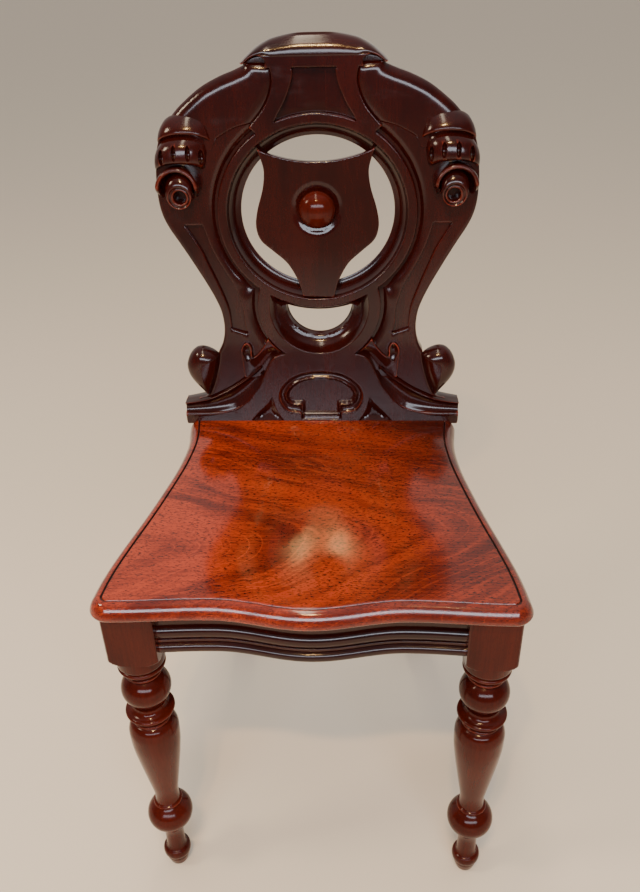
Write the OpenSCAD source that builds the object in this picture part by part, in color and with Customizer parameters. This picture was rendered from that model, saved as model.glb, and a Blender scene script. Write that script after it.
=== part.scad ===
// Hall chair: a moulded seat on turned front legs and swept rear legs,
// with a carved and pierced back standing behind the seat.
// Millimetres. +Z is up, +X is to the right seen from the front, and the front faces -Y.
// The origin is on the floor, midway between the seat's front and the rear feet.
// Sizes called "across the back" and "up the back" lie in the plane of the back's front face,
// which leans from the seat's top.

/* [Overall] */
// Depth from the foremost point of the seat to the rear feet
overall_d = 428; // [415:1:445]
// Height of the seat's top above the floor
seat_h = 445; // [430:1:460]
// Lean of the back from upright, in degrees
back_rake = 5; // [3:0.5:7]

/* [Seat] */
// Width of the seat at its front corners
seat_front_w = 414; // [408:1:420]
// Width of the seat at its narrowest, near the back
seat_rear_w = 320; // [314:1:326]
// Thickness of the seat board
seat_t = 22; // [19:1:25]
// Reach of the seat's foremost point in front of the front legs' axes
seat_nose = 44.5; // [43:0.5:47]
// Distance from the front legs' axes to the foot of the back
seat_d = 298; // [292:1:304]
// Swell of the seat's front edge at its middle
seat_bow = 12.5; // [8:0.5:14]
// Half the width of that swell
bow_half_w = 93; // [85:1:100]
// Reach of the front corners beyond the hollows beside the swell
corner_kick = 4; // [2:0.5:6]
// Radius of the seat's front corners, seen from above
corner_r = 19.5; // [16:0.5:24]
// Width of the rounded band around the seat
edge_w = 12; // [10:0.5:14]
// Width of the sunk line inside the rounded band
quirk_w = 2; // [1.5:0.1:3]
// Depth of the sunk line
quirk_d = 1.5; // [1:0.1:2]

/* [Front legs] */
// Distance of the front legs inside the seat's front corners
front_leg_inset = 8; // [6:0.5:10]
// Width of the square block at the head of a front leg
block_w = 50; // [48:1:52]
// Height of that block on its faces
block_h = 64; // [62:1:66]
// Height over which the block's corners are turned away
shoulder_h = 11; // [8:1:14]
// Largest radius of the two balls
ball_r = 26.2; // [24:0.2:27]
// Half the height of a ball
ball_half_h = 23; // [21:0.5:24]
// Height of the lower ball's middle above the floor
lower_ball_z = 94; // [90:1:98]
// Height of the upper ball's middle above the floor
upper_ball_z = 306; // [304:1:308]
// Largest radius of the tapered shaft
shaft_r = 26.9; // [24:0.1:28]
// Radius of the neck above the lower ball
neck_r = 14; // [12:0.5:16]
// Radius of the flange under the upper ball
flange_r = 25.8; // [24:0.2:28]
// Radius of the ankle
ankle_r = 11.3; // [10:0.1:13]
// Radius of the foot's pad
pad_r = 16.2; // [14:0.2:18]

/* [Rear legs] */
// Distance of the rear legs inside the seat's narrowest width
rear_leg_inset = 13; // [12:0.5:15]
// Width of a rear leg's head, seen from the front
rear_leg_w = 34; // [30:1:36]
// Depth of a rear leg at its head
rear_leg_d = 34; // [32:1:36]
// Depth of a rear leg at the floor
rear_foot_d = 27; // [24:1:30]
// Gap between a rear leg's head and the back of the seat
rear_leg_gap = 4; // [3:0.5:6]

/* [Rails] */
// Height of the rails
rail_h = 56; // [52:1:58]
// Distance of the front rail's face behind the seat's edge
rail_setback = 18; // [16:0.5:20]
// Distance from the front legs' axes to the front rail's rear face
front_rail_back = 12; // [10:1:14]
// Height of the bead along the front rail's lower edge
rail_bead_h = 17; // [14:1:19]
// Height of the sunk line above that bead
rail_quirk_h = 3; // [2:0.5:5]
// Depth of that sunk line
rail_quirk_d = 6; // [4:0.5:7]
// Height of the roll above that line
rail_roll_h = 16; // [14:1:20]
// Depth of the rail's face above the roll
rail_top_d = 5; // [3:0.5:7]
// Thickness of the side rails
side_rail_t = 20; // [18:1:22]
// Distance of the side rails inside the legs' outer faces
side_rail_inset = 4; // [3:0.5:6]
// Thickness of the rear rail along its lower edge
rear_rail_t = 23; // [22:0.5:24]
// Height of the tenons
tenon_h = 36; // [30:1:38]
// Thickness of the tenons
tenon_t = 8; // [7:0.5:9]
// Length of the front rail's tenons
front_tenon_l = 20; // [16:1:22]
// Length of the other tenons
tenon_l = 14; // [12:1:14.5]

/* [Corner blocks] */
// Length of a corner block along each rail
corner_leg = 36; // [34:1:40]
// Height of the corner blocks
corner_h = 38; // [34:1:42]

/* [Back] */
// Height up the back from the seat's top to the crest
back_h = 431; // [425:1:440]
// Width across the back at its widest
back_w = 350; // [344:1:356]
// Thickness of the back at its carved bands
back_t = 24; // [22:0.5:26]
// Depth of the ground behind the face of the bands
ground_d = 8; // [6:0.5:9]
// Height up the back to the middle of the ring
ring_v = 250.5; // [248:0.5:253]
// Half the width of the ring's front opening
ring_in_w = 99.5; // [97:0.5:101]
// Half the height of the ring's front opening
ring_in_h = 95; // [93:0.5:97]
// Width of the ring's flat band
ring_band = 10; // [8:0.5:11]
// Width of the ledge inside the ring
ledge_w = 14; // [12:0.5:15]
// Depth of that ledge behind the face of the bands
ledge_d = 10; // [9:0.5:12]
// Height up the back to the middle of the hoop
hoop_v = 146; // [144:1:148]
// Radius of the hoop's front opening
hoop_in_r = 57; // [55:0.5:58]
// Width of the hoop's flat band
hoop_band = 14; // [12:0.5:15]
// Radius of the hoop's rear opening
hoop_rear_r = 41; // [39:0.5:43]
// Width across the moulded foot of the back
foot_w = 334; // [326:1:338]
// Height of the moulded foot at its ends
foot_h = 26; // [24:1:30]
// Drop of the moulded foot behind the seat's edge
foot_drop = 8; // [6:0.5:10]
// Depth of the foot's moulding behind the face of the bands
moulding_d = 3; // [2:0.5:5]
// Length of the tongue below the seat's top
tongue_l = 76; // [74:1:77]

/* [Crest] */
// Height of the crest rail at its middle
crest_h = 20; // [19:0.5:22]
// Width across the crest rail
crest_w = 151; // [147:1:154]
// Overhang of the crest rail in front of the bands
crest_nose = 2; // [1:0.5:4]

/* [Shield] */
// Width across the shield
shield_w = 136; // [130:1:138]
// Height of the shield, from its foot to the tips of its ears
shield_h = 163; // [160:1:164]
// Thickness of the shield
shield_t = 9; // [8:0.5:9.5]
// Gap between the shield's foot and the edge of the ring's opening
shield_gap = 1.5; // [1:0.1:2]
// Radius of the domed boss
boss_r = 20; // [17:0.5:22]
// Rise of the domed boss
boss_rise = 15; // [12:0.5:17]
// Radius of the boss's spigot
spigot_r = 5; // [4:0.5:6]
// Length of the boss's spigot
spigot_l = 7; // [6:0.5:7.5]

/* [Scrolls and ears] */
// Rise of the scrolls' middle tier in front of the ground
scroll_rise = 17; // [14:0.5:19]
// Reach of the tube at the foot of a scroll in front of the ground
tube_rise = 22; // [20:1:24]
// Radius of the tube at the foot of a scroll
tube_r = 13; // [11:0.5:14]
// Radius of the hollow in that tube
tube_bore_r = 5; // [4:0.5:6]
// Depth of the hollow in that tube
tube_bore_d = 12; // [8:0.5:14]
// Reach of an ear in front of the ground
ear_rise = 18; // [14:0.5:20]

/* [Fixings] */
// Radius of a screw's shank
screw_r = 2; // [1.8:0.1:2.2]
// Radius of a screw's head
screw_head_r = 4; // [3.6:0.1:4.4]
// Height of a screw's countersunk head
screw_head_h = 2.8; // [2.4:0.1:3.2]
// Width of the slot in a screw's head
slot_w = 1.1; // [0.9:0.1:1.3]
// Radius of the dowels in the crest rail
crest_dowel_r = 4; // [3:0.5:5]
// Radius of the dowels behind the carvings
dowel_r = 3; // [2.5:0.5:3.5]
// Length of a dowel on each side of its joint
dowel_grip = 10; // [8:0.5:11]
// Depth that a screw reaches into the piece that it holds
screw_bite = 12; // [10:0.5:13]

/* [Hidden] */
$fn = 64;

// Room around tenons, dowels and screws, and around let-in carvings
fit = 0.1;
// How far a cut runs past the faces that it opens
overrun = 2;
// Steps in each span of a smooth curve
curve_steps = 5;
// Steps around the ring's ovals
oval_steps = 80;

// Places of the main pieces, across, front to back and up
front_leg_span = seat_front_w - block_w - 2 * front_leg_inset;
rear_leg_span = seat_rear_w - rear_leg_w - 2 * rear_leg_inset;
front_leg_y = seat_nose - overall_d / 2;
back_y = front_leg_y + seat_d;
seat_z = seat_h - seat_t;
rail_z = seat_z - rail_h;
block_in_x = front_leg_span / 2 - block_w / 2;
block_out_x = front_leg_span / 2 + block_w / 2;
block_back_y = front_leg_y + block_w / 2;
rear_head_back_y = back_y - rear_leg_gap;
rear_head_front_y = rear_head_back_y - rear_leg_d;
rear_in_x = (rear_leg_span - rear_leg_w) / 2;
rear_out_x = (rear_leg_span + rear_leg_w) / 2;
rail_foot_back_y = back_y - (seat_t + rail_h) * tan(back_rake);
rear_rail_y = rail_foot_back_y - rear_rail_t;
tenon_z = rail_z + (rail_h - tenon_h) / 2;

// Outline of the seat's side from the front corner to the back: share of the taper, share of the run
seat_side_shares = [
    [1, 0], [0.95, 0.07], [0.86, 0.15], [0.7, 0.256], [0.477, 0.394], [0.272, 0.5375],
    [0.09, 0.684], [0, 0.81], [0, 0.89], [0.05, 0.96]
];
// Flare of the seat's sides where they pass behind the back's face, as a share of the taper
seat_flare_share = 0.155;
// Steps of the seat's rounded edge: bottom and top as shares of its thickness, inset as share of its band
seat_edge_shares = [[0.42, 0.72, 0], [0.27, 0.87, 0.14], [0.14, 0.96, 0.42], [0, 1, 0.8]];

// Side of the back from the crest's notch to the ear: shares of half the width and of the height
back_side_shares = [
    [0.417, 0.9315], [0.486, 0.92], [0.571, 0.907], [0.686, 0.884], [0.8, 0.849], [0.857, 0.827],
    [0.914, 0.799], [0.954, 0.77], [0.98, 0.7355], [0.997, 0.684], [1, 0.645], [0.993, 0.608],
    [0.974, 0.575], [0.94, 0.545], [0.891, 0.513], [0.834, 0.473], [0.783, 0.436], [0.731, 0.398],
    [0.686, 0.36], [0.654, 0.325], [0.642, 0.29], [0.645, 0.26], [0.663, 0.23], [0.691, 0.208]
];
// Edge where an ear meets the back, from its top to its tip
ear_joint_shares = [[0.691, 0.208], [0.703, 0.176], [0.726, 0.142], [0.754, 0.109], [0.783, 0.08]];
// Outer side of an ear, from its tip to its top
ear_outer_shares = [
    [0.783, 0.08], [0.857, 0.102], [0.897, 0.132], [0.914, 0.166], [0.902, 0.195], [0.866, 0.214],
    [0.809, 0.221], [0.749, 0.215]
];
// Outer edge of a strap, from the crest to the ring
strap_outer_shares = [
    [0.331, 0.954], [0.291, 0.945], [0.263, 0.93], [0.253, 0.914], [0.251, 0.893], [0.266, 0.87],
    [0.286, 0.849], [0.314, 0.831], [0.349, 0.813], [0.4, 0.793]
];
// Inner edge of a strap, from the ring to the crest
strap_inner_shares = [
    [0.25, 0.8], [0.229, 0.82], [0.209, 0.832], [0.183, 0.849], [0.154, 0.875], [0.134, 0.898], [0.126, 0.922]
];
// Half the width of the band under the crest at its foot, as a share of half the crest's
fascia_share = 0.45;
// Ogee edge of the raised apron, from the hoop to the end of the foot
apron_shares = [
    [0.2, 0.215], [0.286, 0.2], [0.326, 0.188], [0.354, 0.169], [0.389, 0.139], [0.423, 0.109],
    [0.457, 0.09], [0.503, 0.066], [0.56, 0.046], [0.6, 0.035], [0.686, 0.028], [0.8, 0.022], [0.954, 0.0186]
];
// Rounding of the moulded foot's ends, and height of their upright sides, as shares of its height
foot_round_share = 0.125;
foot_side_share = 0.8;
// Upper edge of the moulded foot, from the hoop to its end
moulding_shares = [
    [0.371, 0.215], [0.44, 0.195], [0.49, 0.165], [0.53, 0.14], [0.571, 0.121], [0.629, 0.102],
    [0.686, 0.085], [0.783, 0.066]
];
// Lower edge of a wing, from the strap to the scroll
wing_low_shares = [[0.4, 0.793], [0.46, 0.79], [0.54, 0.779], [0.6, 0.768]];
// Half of the shield's side, from its foot to the tip of its ear: shares of half its width and of its height
shield_shares = [
    [0.26, 0], [0.3, 0.07], [0.36, 0.14], [0.51, 0.245], [0.72, 0.325], [0.93, 0.405], [1, 0.5],
    [0.96, 0.61], [0.86, 0.75], [0.83, 0.86], [0.87, 0.94], [0.91, 1]
];
// Top edge of the shield, from the tip of its ear to its middle
shield_top_shares = [[0.91, 1], [0.72, 0.963], [0.45, 0.932], [0.2, 0.92]];
// Place of the screws in the shield's ears, and share of its thickness that its screws reach
shield_ear_shares = [0.86, 0.965];
shield_hold_share = 0.65;
// Height of the boss's middle up the shield
boss_share = 0.61;
// Half of the crest rail's top, from its middle to its tip: shares of half its width and of its rise
crest_top_shares = [
    [0.03, 1], [0.26, 0.97], [0.53, 0.8], [0.66, 0.62], [0.795, 0.35], [0.927, -0.05], [1, -0.33]
];
// Share of the crest rail's underside that is level, and half of that underside, from its tip inward
crest_bed_share = 0.74;
crest_under_shares = [[0.975, -0.4], [0.92, -0.18], [0.83, -0.03], [crest_bed_share, 0]];
// Middle and size of the sunk panel in the apron: shares of half the width and of the height
sunk_panel_shares = [0.229, 0.0765, 0.07];
// Place of a crest dowel across the crest
crest_dowel_share = 0.44;
// Places of a scroll's tiers: middle across, middle up, radius as shares of half the back's width,
// and rise as a share of the scroll's rise
scroll_tier_shares = [[0.794, 0.768, 0.15, 0.72], [0.811, 0.724, 0.155, 1], [0.84, 0.655, 0.135, 0.7]];
// Place of the scroll's tube
scroll_tube_share = [0.84, 0.634];
// Place of the scroll's dowel
scroll_dowel_share = [0.811, 0.715];
// Height of the ear's dowel
ear_dowel_share = 0.162;
// Places of the back's screws across the tongue, and up it
back_screw_shares = [-0.72, -0.26, 0.26, 0.72];
back_screw_v_share = 0.72;
// Place of the screws in a corner block along its leg
block_screw_share = 0.55;
// Size of a corner block's bore to the seat
seat_screw_inset = 6;
seat_screw_pocket = 10;
// Profile of the tapered shaft, from the neck up: shares of the way from neck to full radius and of its run
shaft_shares = [
    [0.05, 0], [0.02, 0.1], [0.1, 0.22], [0.29, 0.38], [0.56, 0.56], [0.83, 0.72], [1, 0.88], [0.94, 0.95],
    [0.72, 1]
];

// Height of the foot's pad and of its lower edge, as shares of its radius
pad_shares = [0.8, 0.9];
// Height of a collar as a share of a ball's radius
collar_share = 0.14;
// Ends of a ball as shares of half its height: lower ball's foot, other ends, foot of the neck
ball_end_shares = [0.85, 0.81, 0.84];
// Foot of the collar on the lower ball, as a share of half the ball's height
collar_place_share = 0.95;
// Radii above the shaft as shares of its radius: waist and collar
waist_shares = [0.68, 0.72];
// Hollow on top of the flange: radius as a share of its radius, and height in collars
flange_top_shares = [[0.8, 1.4], [0.68, 2.4], [0.62, 3.6]];
// Radii of the neck's two collars, as shares of the ball's radius
neck_shares = [0.72, 0.64];
// Drop of the ring under the block, in collars
block_ring_share = 5.6;
// Radii of that ring's core and of the band above it, as shares of half the block's width
block_band_shares = [0.9, 0.97];
// Foot of the groove between that ring and the band, and foot of the band, in collars above the ring's foot
band_place_shares = [1.3, 1.6];

// Point of a list that is held at its ends
function held(p, i) = p[max(0, min(len(p) - 1, i))];
function last(p) = p[len(p) - 1];
// Point on the smooth curve from b to c, with neighbours a and d
function between(a, b, c, d, t) =
    (2 * b + (c - a) * t + (2 * a - 5 * b + 4 * c - d) * t * t + (3 * b - a - 3 * c + d) * t * t * t) / 2;
// Smooth curve through a list of points
function smooth(p, steps = curve_steps) = concat(
    [for (i = [0:len(p) - 2]) for (k = [0:steps - 1])
        between(held(p, i - 1), held(p, i), held(p, i + 1), held(p, i + 2), k / steps)],
    [last(p)]);
// Points from shares of a width and a height
function sized(shares, w, h) = [for (s = shares) [s[0] * w, s[1] * h]];
function flipped(p) = [for (i = [len(p) - 1:-1:0]) [-p[i][0], p[i][1]]];
// Curve in the plane of the back
function on_face(shares) = smooth(sized(shares, back_w / 2, back_h));
function oval(w, h) = [for (i = [0:oval_steps - 1]) let (a = 360 * i / oval_steps) [w * cos(a), h * sin(a)]];
function arc(c, r, a0, a1, steps) = [for (i = [0:steps])
    let (a = a0 + (a1 - a0) * i / steps) c + r * [cos(a), sin(a)]];
// Left-hand normal of an edge
function side_of(a, b) = [a[1] - b[1], b[0] - a[0]] / norm(b - a);
// Closed outline moved inward by d, for points that run anticlockwise
function inset(p, d) = [for (i = [0:len(p) - 1])
    let (n = side_of(held_round(p, i - 1), p[i]) + side_of(p[i], held_round(p, i + 1)))
    p[i] + n * 2 * d / (n * n)];
function held_round(p, i) = p[(i + len(p)) % len(p)];

// Half a cosine wave from 0 to 1
function swell(t) = (1 - cos(180 * max(0, min(1, t)))) / 2;
corner_x = seat_front_w / 2 - corner_r;
// Depth of the seat's front edge at x
function seat_front_y(x) = front_leg_y - seat_nose + seat_bow * swell(abs(x) / bow_half_w)
    - corner_kick * swell((abs(x) - bow_half_w) / (corner_x - bow_half_w));
corner_y = seat_front_y(corner_x) + corner_r;
front_steps = 14;
seat_curve_steps = 3;
function seat_side_x(share) = (seat_rear_w + (seat_front_w - seat_rear_w) * share) / 2;
// Half of the seat's outline, from the middle of the front to the back
function seat_half() = concat(
    [for (i = [1:front_steps]) let (x = corner_x * i / front_steps) [x, seat_front_y(x)]],
    arc([corner_x, corner_y], corner_r, -80, -10, 6),
    smooth([for (s = seat_side_shares) [seat_side_x(s[0]), corner_y + (back_y - corner_y) * s[1]]],
        seat_curve_steps),
    [[seat_side_x(seat_flare_share), back_y + 2 * edge_w]]);
function seat_outline() = concat(seat_half(), flipped(seat_half()), [[0, seat_front_y(0)]]);

// Moves a piece from its own plane into the leaning plane of the back
module on_back() {
    translate([0, back_y, seat_h]) rotate([-back_rake, 0, 0]) children();
}
// Plate of a flat shape across and up the back, between two depths behind the face of the bands
module plate(front, rear) {
    translate([0, rear, 0]) rotate([90, 0, 0]) linear_extrude(rear - front) children();
}
// Everything behind the plane of the back's front face
module behind_back() {
    on_back() translate([-seat_front_w, 0, -seat_h]) cube([2 * seat_front_w, overall_d, 2 * seat_h]);
}
// Shows a piece on the right, or on the left as its mirror image
module sided(right) {
    if (right) children();
    else mirror([1, 0, 0]) children();
}
module both() {
    children();
    mirror([1, 0, 0]) children();
}
// Countersunk screw along +Z with its head's face at zero
module screw(l) {
    difference() {
        rotate_extrude() polygon([
            [0, 0], [screw_head_r, 0], [screw_r, screw_head_h], [screw_r, l - 2 * screw_r], [0, l]]);
        translate([-screw_head_r, -slot_w / 2, -screw_head_h / 2])
            cube([2 * screw_head_r, slot_w, screw_head_h]);
    }
}
// Hole for that screw, open behind its head
module screw_hole(l, pocket) {
    rotate_extrude() polygon([
        [0, -pocket], [screw_head_r + fit, -pocket], [screw_head_r + fit, 0],
        [screw_r + fit, screw_head_h], [screw_r + fit, l - 2 * screw_r], [0, l + fit]]);
}
module dowel(r, grip) {
    translate([0, 0, -grip]) cylinder(r = r, h = 2 * grip);
}

// Plan of the side rail's middle line and its faces
side_front_x = block_out_x - side_rail_inset - side_rail_t / 2;
side_rear_x = rear_out_x - side_rail_inset - side_rail_t / 2;
side_run = rear_head_front_y - block_back_y;
function side_x(y) = side_front_x + (side_rear_x - side_front_x) * (y - block_back_y) / side_run;
function side_in_x(y) = side_x(y) - side_rail_t / 2;
// Strip along the side rail's line between two depths
module side_strip(y0, y1, t) {
    polygon([
        [side_x(y0) - t / 2, y0], [side_x(y0) + t / 2, y0],
        [side_x(y1) + t / 2, y1], [side_x(y1) - t / 2, y1]]);
}

// Tenons, and the mortises that take them when grow is the fit
module side_tenons(grow) {
    translate([0, 0, tenon_z - grow]) linear_extrude(tenon_h + 2 * grow) {
        side_strip(block_back_y - tenon_l - grow, block_back_y + overrun, tenon_t + 2 * grow);
        side_strip(rear_head_front_y - overrun, rear_head_front_y + tenon_l + grow, tenon_t + 2 * grow);
    }
}
module front_tenons(grow) {
    half = block_in_x + front_tenon_l + grow;
    translate([-half, front_leg_y - tenon_t / 2 - grow, tenon_z - grow])
        cube([2 * half, tenon_t + 2 * grow, tenon_h + 2 * grow]);
}
module rear_tenons(grow) {
    half = rear_in_x + tenon_l + grow;
    translate([-half, rear_rail_y + tenon_t - grow, tenon_z - grow])
        cube([2 * half, tenon_t + 2 * grow, tenon_h + 2 * grow]);
}

// Places of the screws in a right-hand corner block
front_screw_x = block_in_x - corner_leg * block_screw_share;
front_side_screw_y = block_back_y + corner_leg * block_screw_share;
rear_screw_x = rear_in_x - corner_leg * block_screw_share;
rear_side_screw_y = rear_head_front_y - corner_leg * block_screw_share;
block_z = seat_z - corner_h;
block_mid_z = block_z + corner_h / 2;
front_rail_back_y = front_leg_y + front_rail_back;
front_block_plan = [
    [block_in_x - corner_leg, front_rail_back_y], [block_in_x, front_rail_back_y], [block_in_x, block_back_y],
    [side_in_x(block_back_y), block_back_y],
    [side_in_x(block_back_y + corner_leg), block_back_y + corner_leg]];
rear_block_plan = [
    [rear_in_x - corner_leg, rear_rail_y],
    [side_in_x(rear_head_front_y - corner_leg), rear_head_front_y - corner_leg],
    [side_in_x(rear_head_front_y), rear_head_front_y], [rear_in_x, rear_head_front_y],
    [rear_in_x, rear_rail_y]];
// Point on the slanted face of a block between its ends a and b, at x or at y
function face_y(a, b, x) = a[1] + (b[1] - a[1]) * (x - a[0]) / (b[0] - a[0]);
function face_x(a, b, y) = a[0] + (b[0] - a[0]) * (y - a[1]) / (b[1] - a[1]);
front_head_y = face_y(front_block_plan[0], front_block_plan[4], front_screw_x) - screw_head_r;
front_head_x = face_x(front_block_plan[0], front_block_plan[4], front_side_screw_y) + screw_head_r;
rear_head_y = face_y(rear_block_plan[0], rear_block_plan[1], rear_screw_x) + screw_head_r;
rear_head_x = face_x(rear_block_plan[0], rear_block_plan[1], rear_side_screw_y) + screw_head_r;
front_screw_l = front_head_y - front_rail_back_y + screw_bite;
front_side_screw_l = side_in_x(front_side_screw_y) - front_head_x + screw_bite;
rear_screw_l = rear_rail_y - rear_head_y + screw_bite;
rear_side_screw_l = side_in_x(rear_side_screw_y) - rear_head_x + screw_bite;

// Runs its child, a screw or its hole, at each place on the right-hand side
module at_front_screw() {
    translate([front_screw_x, front_head_y, block_mid_z]) rotate([90, 0, 0]) children();
}
module at_front_side_screw() {
    translate([front_head_x, front_side_screw_y, block_mid_z]) rotate([0, 90, 0]) children();
}
module at_rear_screw() {
    translate([rear_screw_x, rear_head_y, block_mid_z]) rotate([-90, 0, 0]) children();
}
module at_rear_side_screw() {
    translate([rear_head_x, rear_side_screw_y, block_mid_z]) rotate([0, 90, 0]) children();
}
module at_seat_screws() {
    translate([block_in_x, block_back_y + seat_screw_inset, block_z + seat_screw_pocket]) children();
    rear_x = rear_in_x - seat_screw_inset / 2;
    translate([rear_x, rear_head_front_y - seat_screw_inset, block_z + seat_screw_pocket]) children();
}
seat_screw_l = corner_h - seat_screw_pocket + screw_bite;
module block_screw_holes() {
    both() {
        at_front_screw() screw_hole(front_screw_l, corner_leg);
        at_front_side_screw() screw_hole(front_side_screw_l, corner_leg);
        at_rear_screw() screw_hole(rear_screw_l, corner_leg);
        at_rear_side_screw() screw_hole(rear_side_screw_l, corner_leg);
    }
}
module seat_screw_holes() {
    both() at_seat_screws() screw_hole(seat_screw_l, seat_screw_pocket + overrun);
}

// Frame
module seat_board() {
    outline = seat_outline();
    color([0.55, 0.2, 0.1]) difference() {
        for (s = seat_edge_shares)
            translate([0, 0, seat_z + s[0] * seat_t])
                linear_extrude((s[1] - s[0]) * seat_t) polygon(inset(outline, s[2] * edge_w));
        behind_back();
        translate([0, 0, seat_h - quirk_d]) linear_extrude(quirk_d + overrun) difference() {
            polygon(inset(outline, edge_w));
            polygon(inset(outline, edge_w + quirk_w));
        }
        seat_screw_holes();
    }
}

// Height of the front rail's plain face above its lower edge
rail_top_z = rail_bead_h + rail_quirk_h + rail_roll_h;
// Layer of the front rail with its face set back by d
module rail_layer(z, h, d) {
    steps = 2 * front_steps;
    translate([0, 0, rail_z + z]) linear_extrude(h) polygon(concat(
        [[block_in_x, front_rail_back_y], [-block_in_x, front_rail_back_y]],
        [for (i = [0:steps]) let (x = block_in_x * (2 * i / steps - 1))
            [x, seat_front_y(x) + rail_setback + d]]));
}
module front_rail() {
    color([0.27, 0.08, 0.05]) difference() {
        union() {
            rail_layer(0, rail_bead_h, 0);
            rail_layer(rail_bead_h, rail_quirk_h, rail_quirk_d);
            rail_layer(rail_bead_h + rail_quirk_h, rail_roll_h, 0);
            rail_layer(rail_top_z, rail_h - rail_top_z, rail_top_d);
            front_tenons(0);
        }
        block_screw_holes();
    }
}
module side_rail(right) {
    color([0.27, 0.08, 0.05]) difference() {
        sided(right) union() {
            translate([0, 0, rail_z]) linear_extrude(rail_h)
                side_strip(block_back_y, rear_head_front_y, side_rail_t);
            side_tenons(0);
        }
        block_screw_holes();
    }
}
module rear_rail() {
    color([0.27, 0.08, 0.05]) difference() {
        union() {
            translate([-rear_in_x, rear_rail_y, rail_z]) cube([2 * rear_in_x, overall_d / 2, rail_h]);
            rear_tenons(0);
        }
        behind_back();
        block_screw_holes();
        on_back() at_back_screws() screw_hole(back_t + screw_bite, overrun);
    }
}

// Curve of a ball's side from one share of its half height to another
function ball_side(z, s0, s1, steps) = [for (i = [0:steps])
    let (s = s0 + (s1 - s0) * i / steps) [ball_r * sqrt(1 - s * s), z + ball_half_h * s]];
// Small round ring from radius r outward, h high, with its foot at z
function ring_side(r, h, z) = [for (i = [0:6]) [r + h / 2 * sin(30 * i), z + h / 2 * (1 - cos(30 * i))]];
block_z0 = seat_z - block_h;
pad_h = pad_r * pad_shares[0];
pad_z = pad_r * pad_shares[1];
collar_h = ball_r * collar_share;
shaft_z0 = lower_ball_z + ball_half_h + 2 * collar_h;
shaft_z1 = upper_ball_z - ball_half_h - 7 * collar_h;
flange_z = shaft_z1 + 2 * collar_h;
neck_z = upper_ball_z + ball_end_shares[2] * ball_half_h;
block_ring_z = block_z0 - collar_h * block_ring_share;
block_ring_r = block_w / 2 * block_band_shares[0];
block_band_r = block_w / 2 * block_band_shares[1];
// Side of the turned part of a front leg, from the floor up
leg_side = concat(
    [[0, 0], [ankle_r, 0], [(ankle_r + pad_r) / 2, pad_z]],
    ring_side(pad_r - pad_h / 2, pad_h, pad_z),
    [[ankle_r, pad_z + pad_h + ankle_r / 2], [ankle_r, lower_ball_z - ball_half_h - ankle_r]],
    ball_side(lower_ball_z, -ball_end_shares[0], ball_end_shares[1], 18),
    ring_side(neck_r + collar_h / 2, collar_h, lower_ball_z + ball_half_h * collar_place_share),
    smooth([for (s = shaft_shares)
        [neck_r + (shaft_r - neck_r) * s[0], shaft_z0 + (shaft_z1 - shaft_z0) * s[1]]]),
    ring_side(shaft_r * waist_shares[1], collar_h, shaft_z1),
    [[shaft_r * waist_shares[0], shaft_z1 + collar_h], [shaft_r * waist_shares[1], flange_z]],
    ring_side(flange_r - collar_h / 2, collar_h, flange_z),
    [for (s = flange_top_shares) [flange_r * s[0], flange_z + collar_h * s[1]]],
    ball_side(upper_ball_z, -ball_end_shares[1], ball_end_shares[1], 18),
    ring_side(ball_r * neck_shares[0], collar_h, neck_z),
    ring_side(ball_r * neck_shares[1], collar_h, neck_z + collar_h),
    [[ball_r * neck_shares[1], block_ring_z - collar_h]],
    ring_side(block_ring_r, collar_h, block_ring_z),
    [[block_ring_r, block_ring_z + collar_h * band_place_shares[0]],
        [block_band_r, block_ring_z + collar_h * band_place_shares[1]],
        [block_band_r, block_z0 + shoulder_h / 2], [0, block_z0 + shoulder_h / 2]]);

module front_leg(right) {
    color([0.27, 0.08, 0.05]) difference() {
        sided(right) translate([front_leg_span / 2, front_leg_y, 0]) {
            rotate_extrude() polygon(leg_side);
            translate([0, 0, block_z0]) intersection() {
                translate([-block_w / 2, -block_w / 2, 0]) cube([block_w, block_w, block_h]);
                rotate_extrude() polygon(concat(
                    [[0, 0]],
                    [for (i = [0:8]) let (a = 90 * i / 8)
                        [block_w / 2 + block_w * (sqrt(0.5) - 0.5) * sin(a), shoulder_h * (1 - cos(a))]],
                    [[block_w * sqrt(0.5), block_h], [0, block_h]]));
            }
        }
        front_tenons(fit);
        both() side_tenons(fit);
    }
}

// Height at which a rear leg starts to sweep back, the reach of its sweep and the sweep's power
rear_knee_z = rail_z;
rear_sweep_power = 1.7;
rear_sweep = overall_d / 2 - rear_foot_d / 2 - (rear_head_front_y + rear_head_back_y) / 2;
// Depth of a rear leg's middle at height z, and half its depth front to back there
function rear_mid_y(z) = (rear_head_front_y + rear_head_back_y) / 2
    + rear_sweep * pow(max(0, 1 - z / rear_knee_z), rear_sweep_power);
function rear_leg_half(z) = (rear_foot_d + (rear_leg_d - rear_foot_d) * min(1, z / rear_knee_z)) / 2;
rear_leg_steps = 14;
module rear_leg(right) {
    levels = concat([for (i = [0:rear_leg_steps]) rear_knee_z * i / rear_leg_steps], [seat_z]);
    color([0.27, 0.08, 0.05]) difference() {
        sided(right) translate([rear_in_x, 0, 0])
            rotate([90, 0, 90]) linear_extrude(rear_leg_w) polygon(concat(
                [for (z = levels) [rear_mid_y(z) + rear_leg_half(z), z]],
                [for (i = [len(levels) - 1:-1:0])
                    [rear_mid_y(levels[i]) - rear_leg_half(levels[i]), levels[i]]]));
        rear_tenons(fit);
        both() side_tenons(fit);
    }
}

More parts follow.
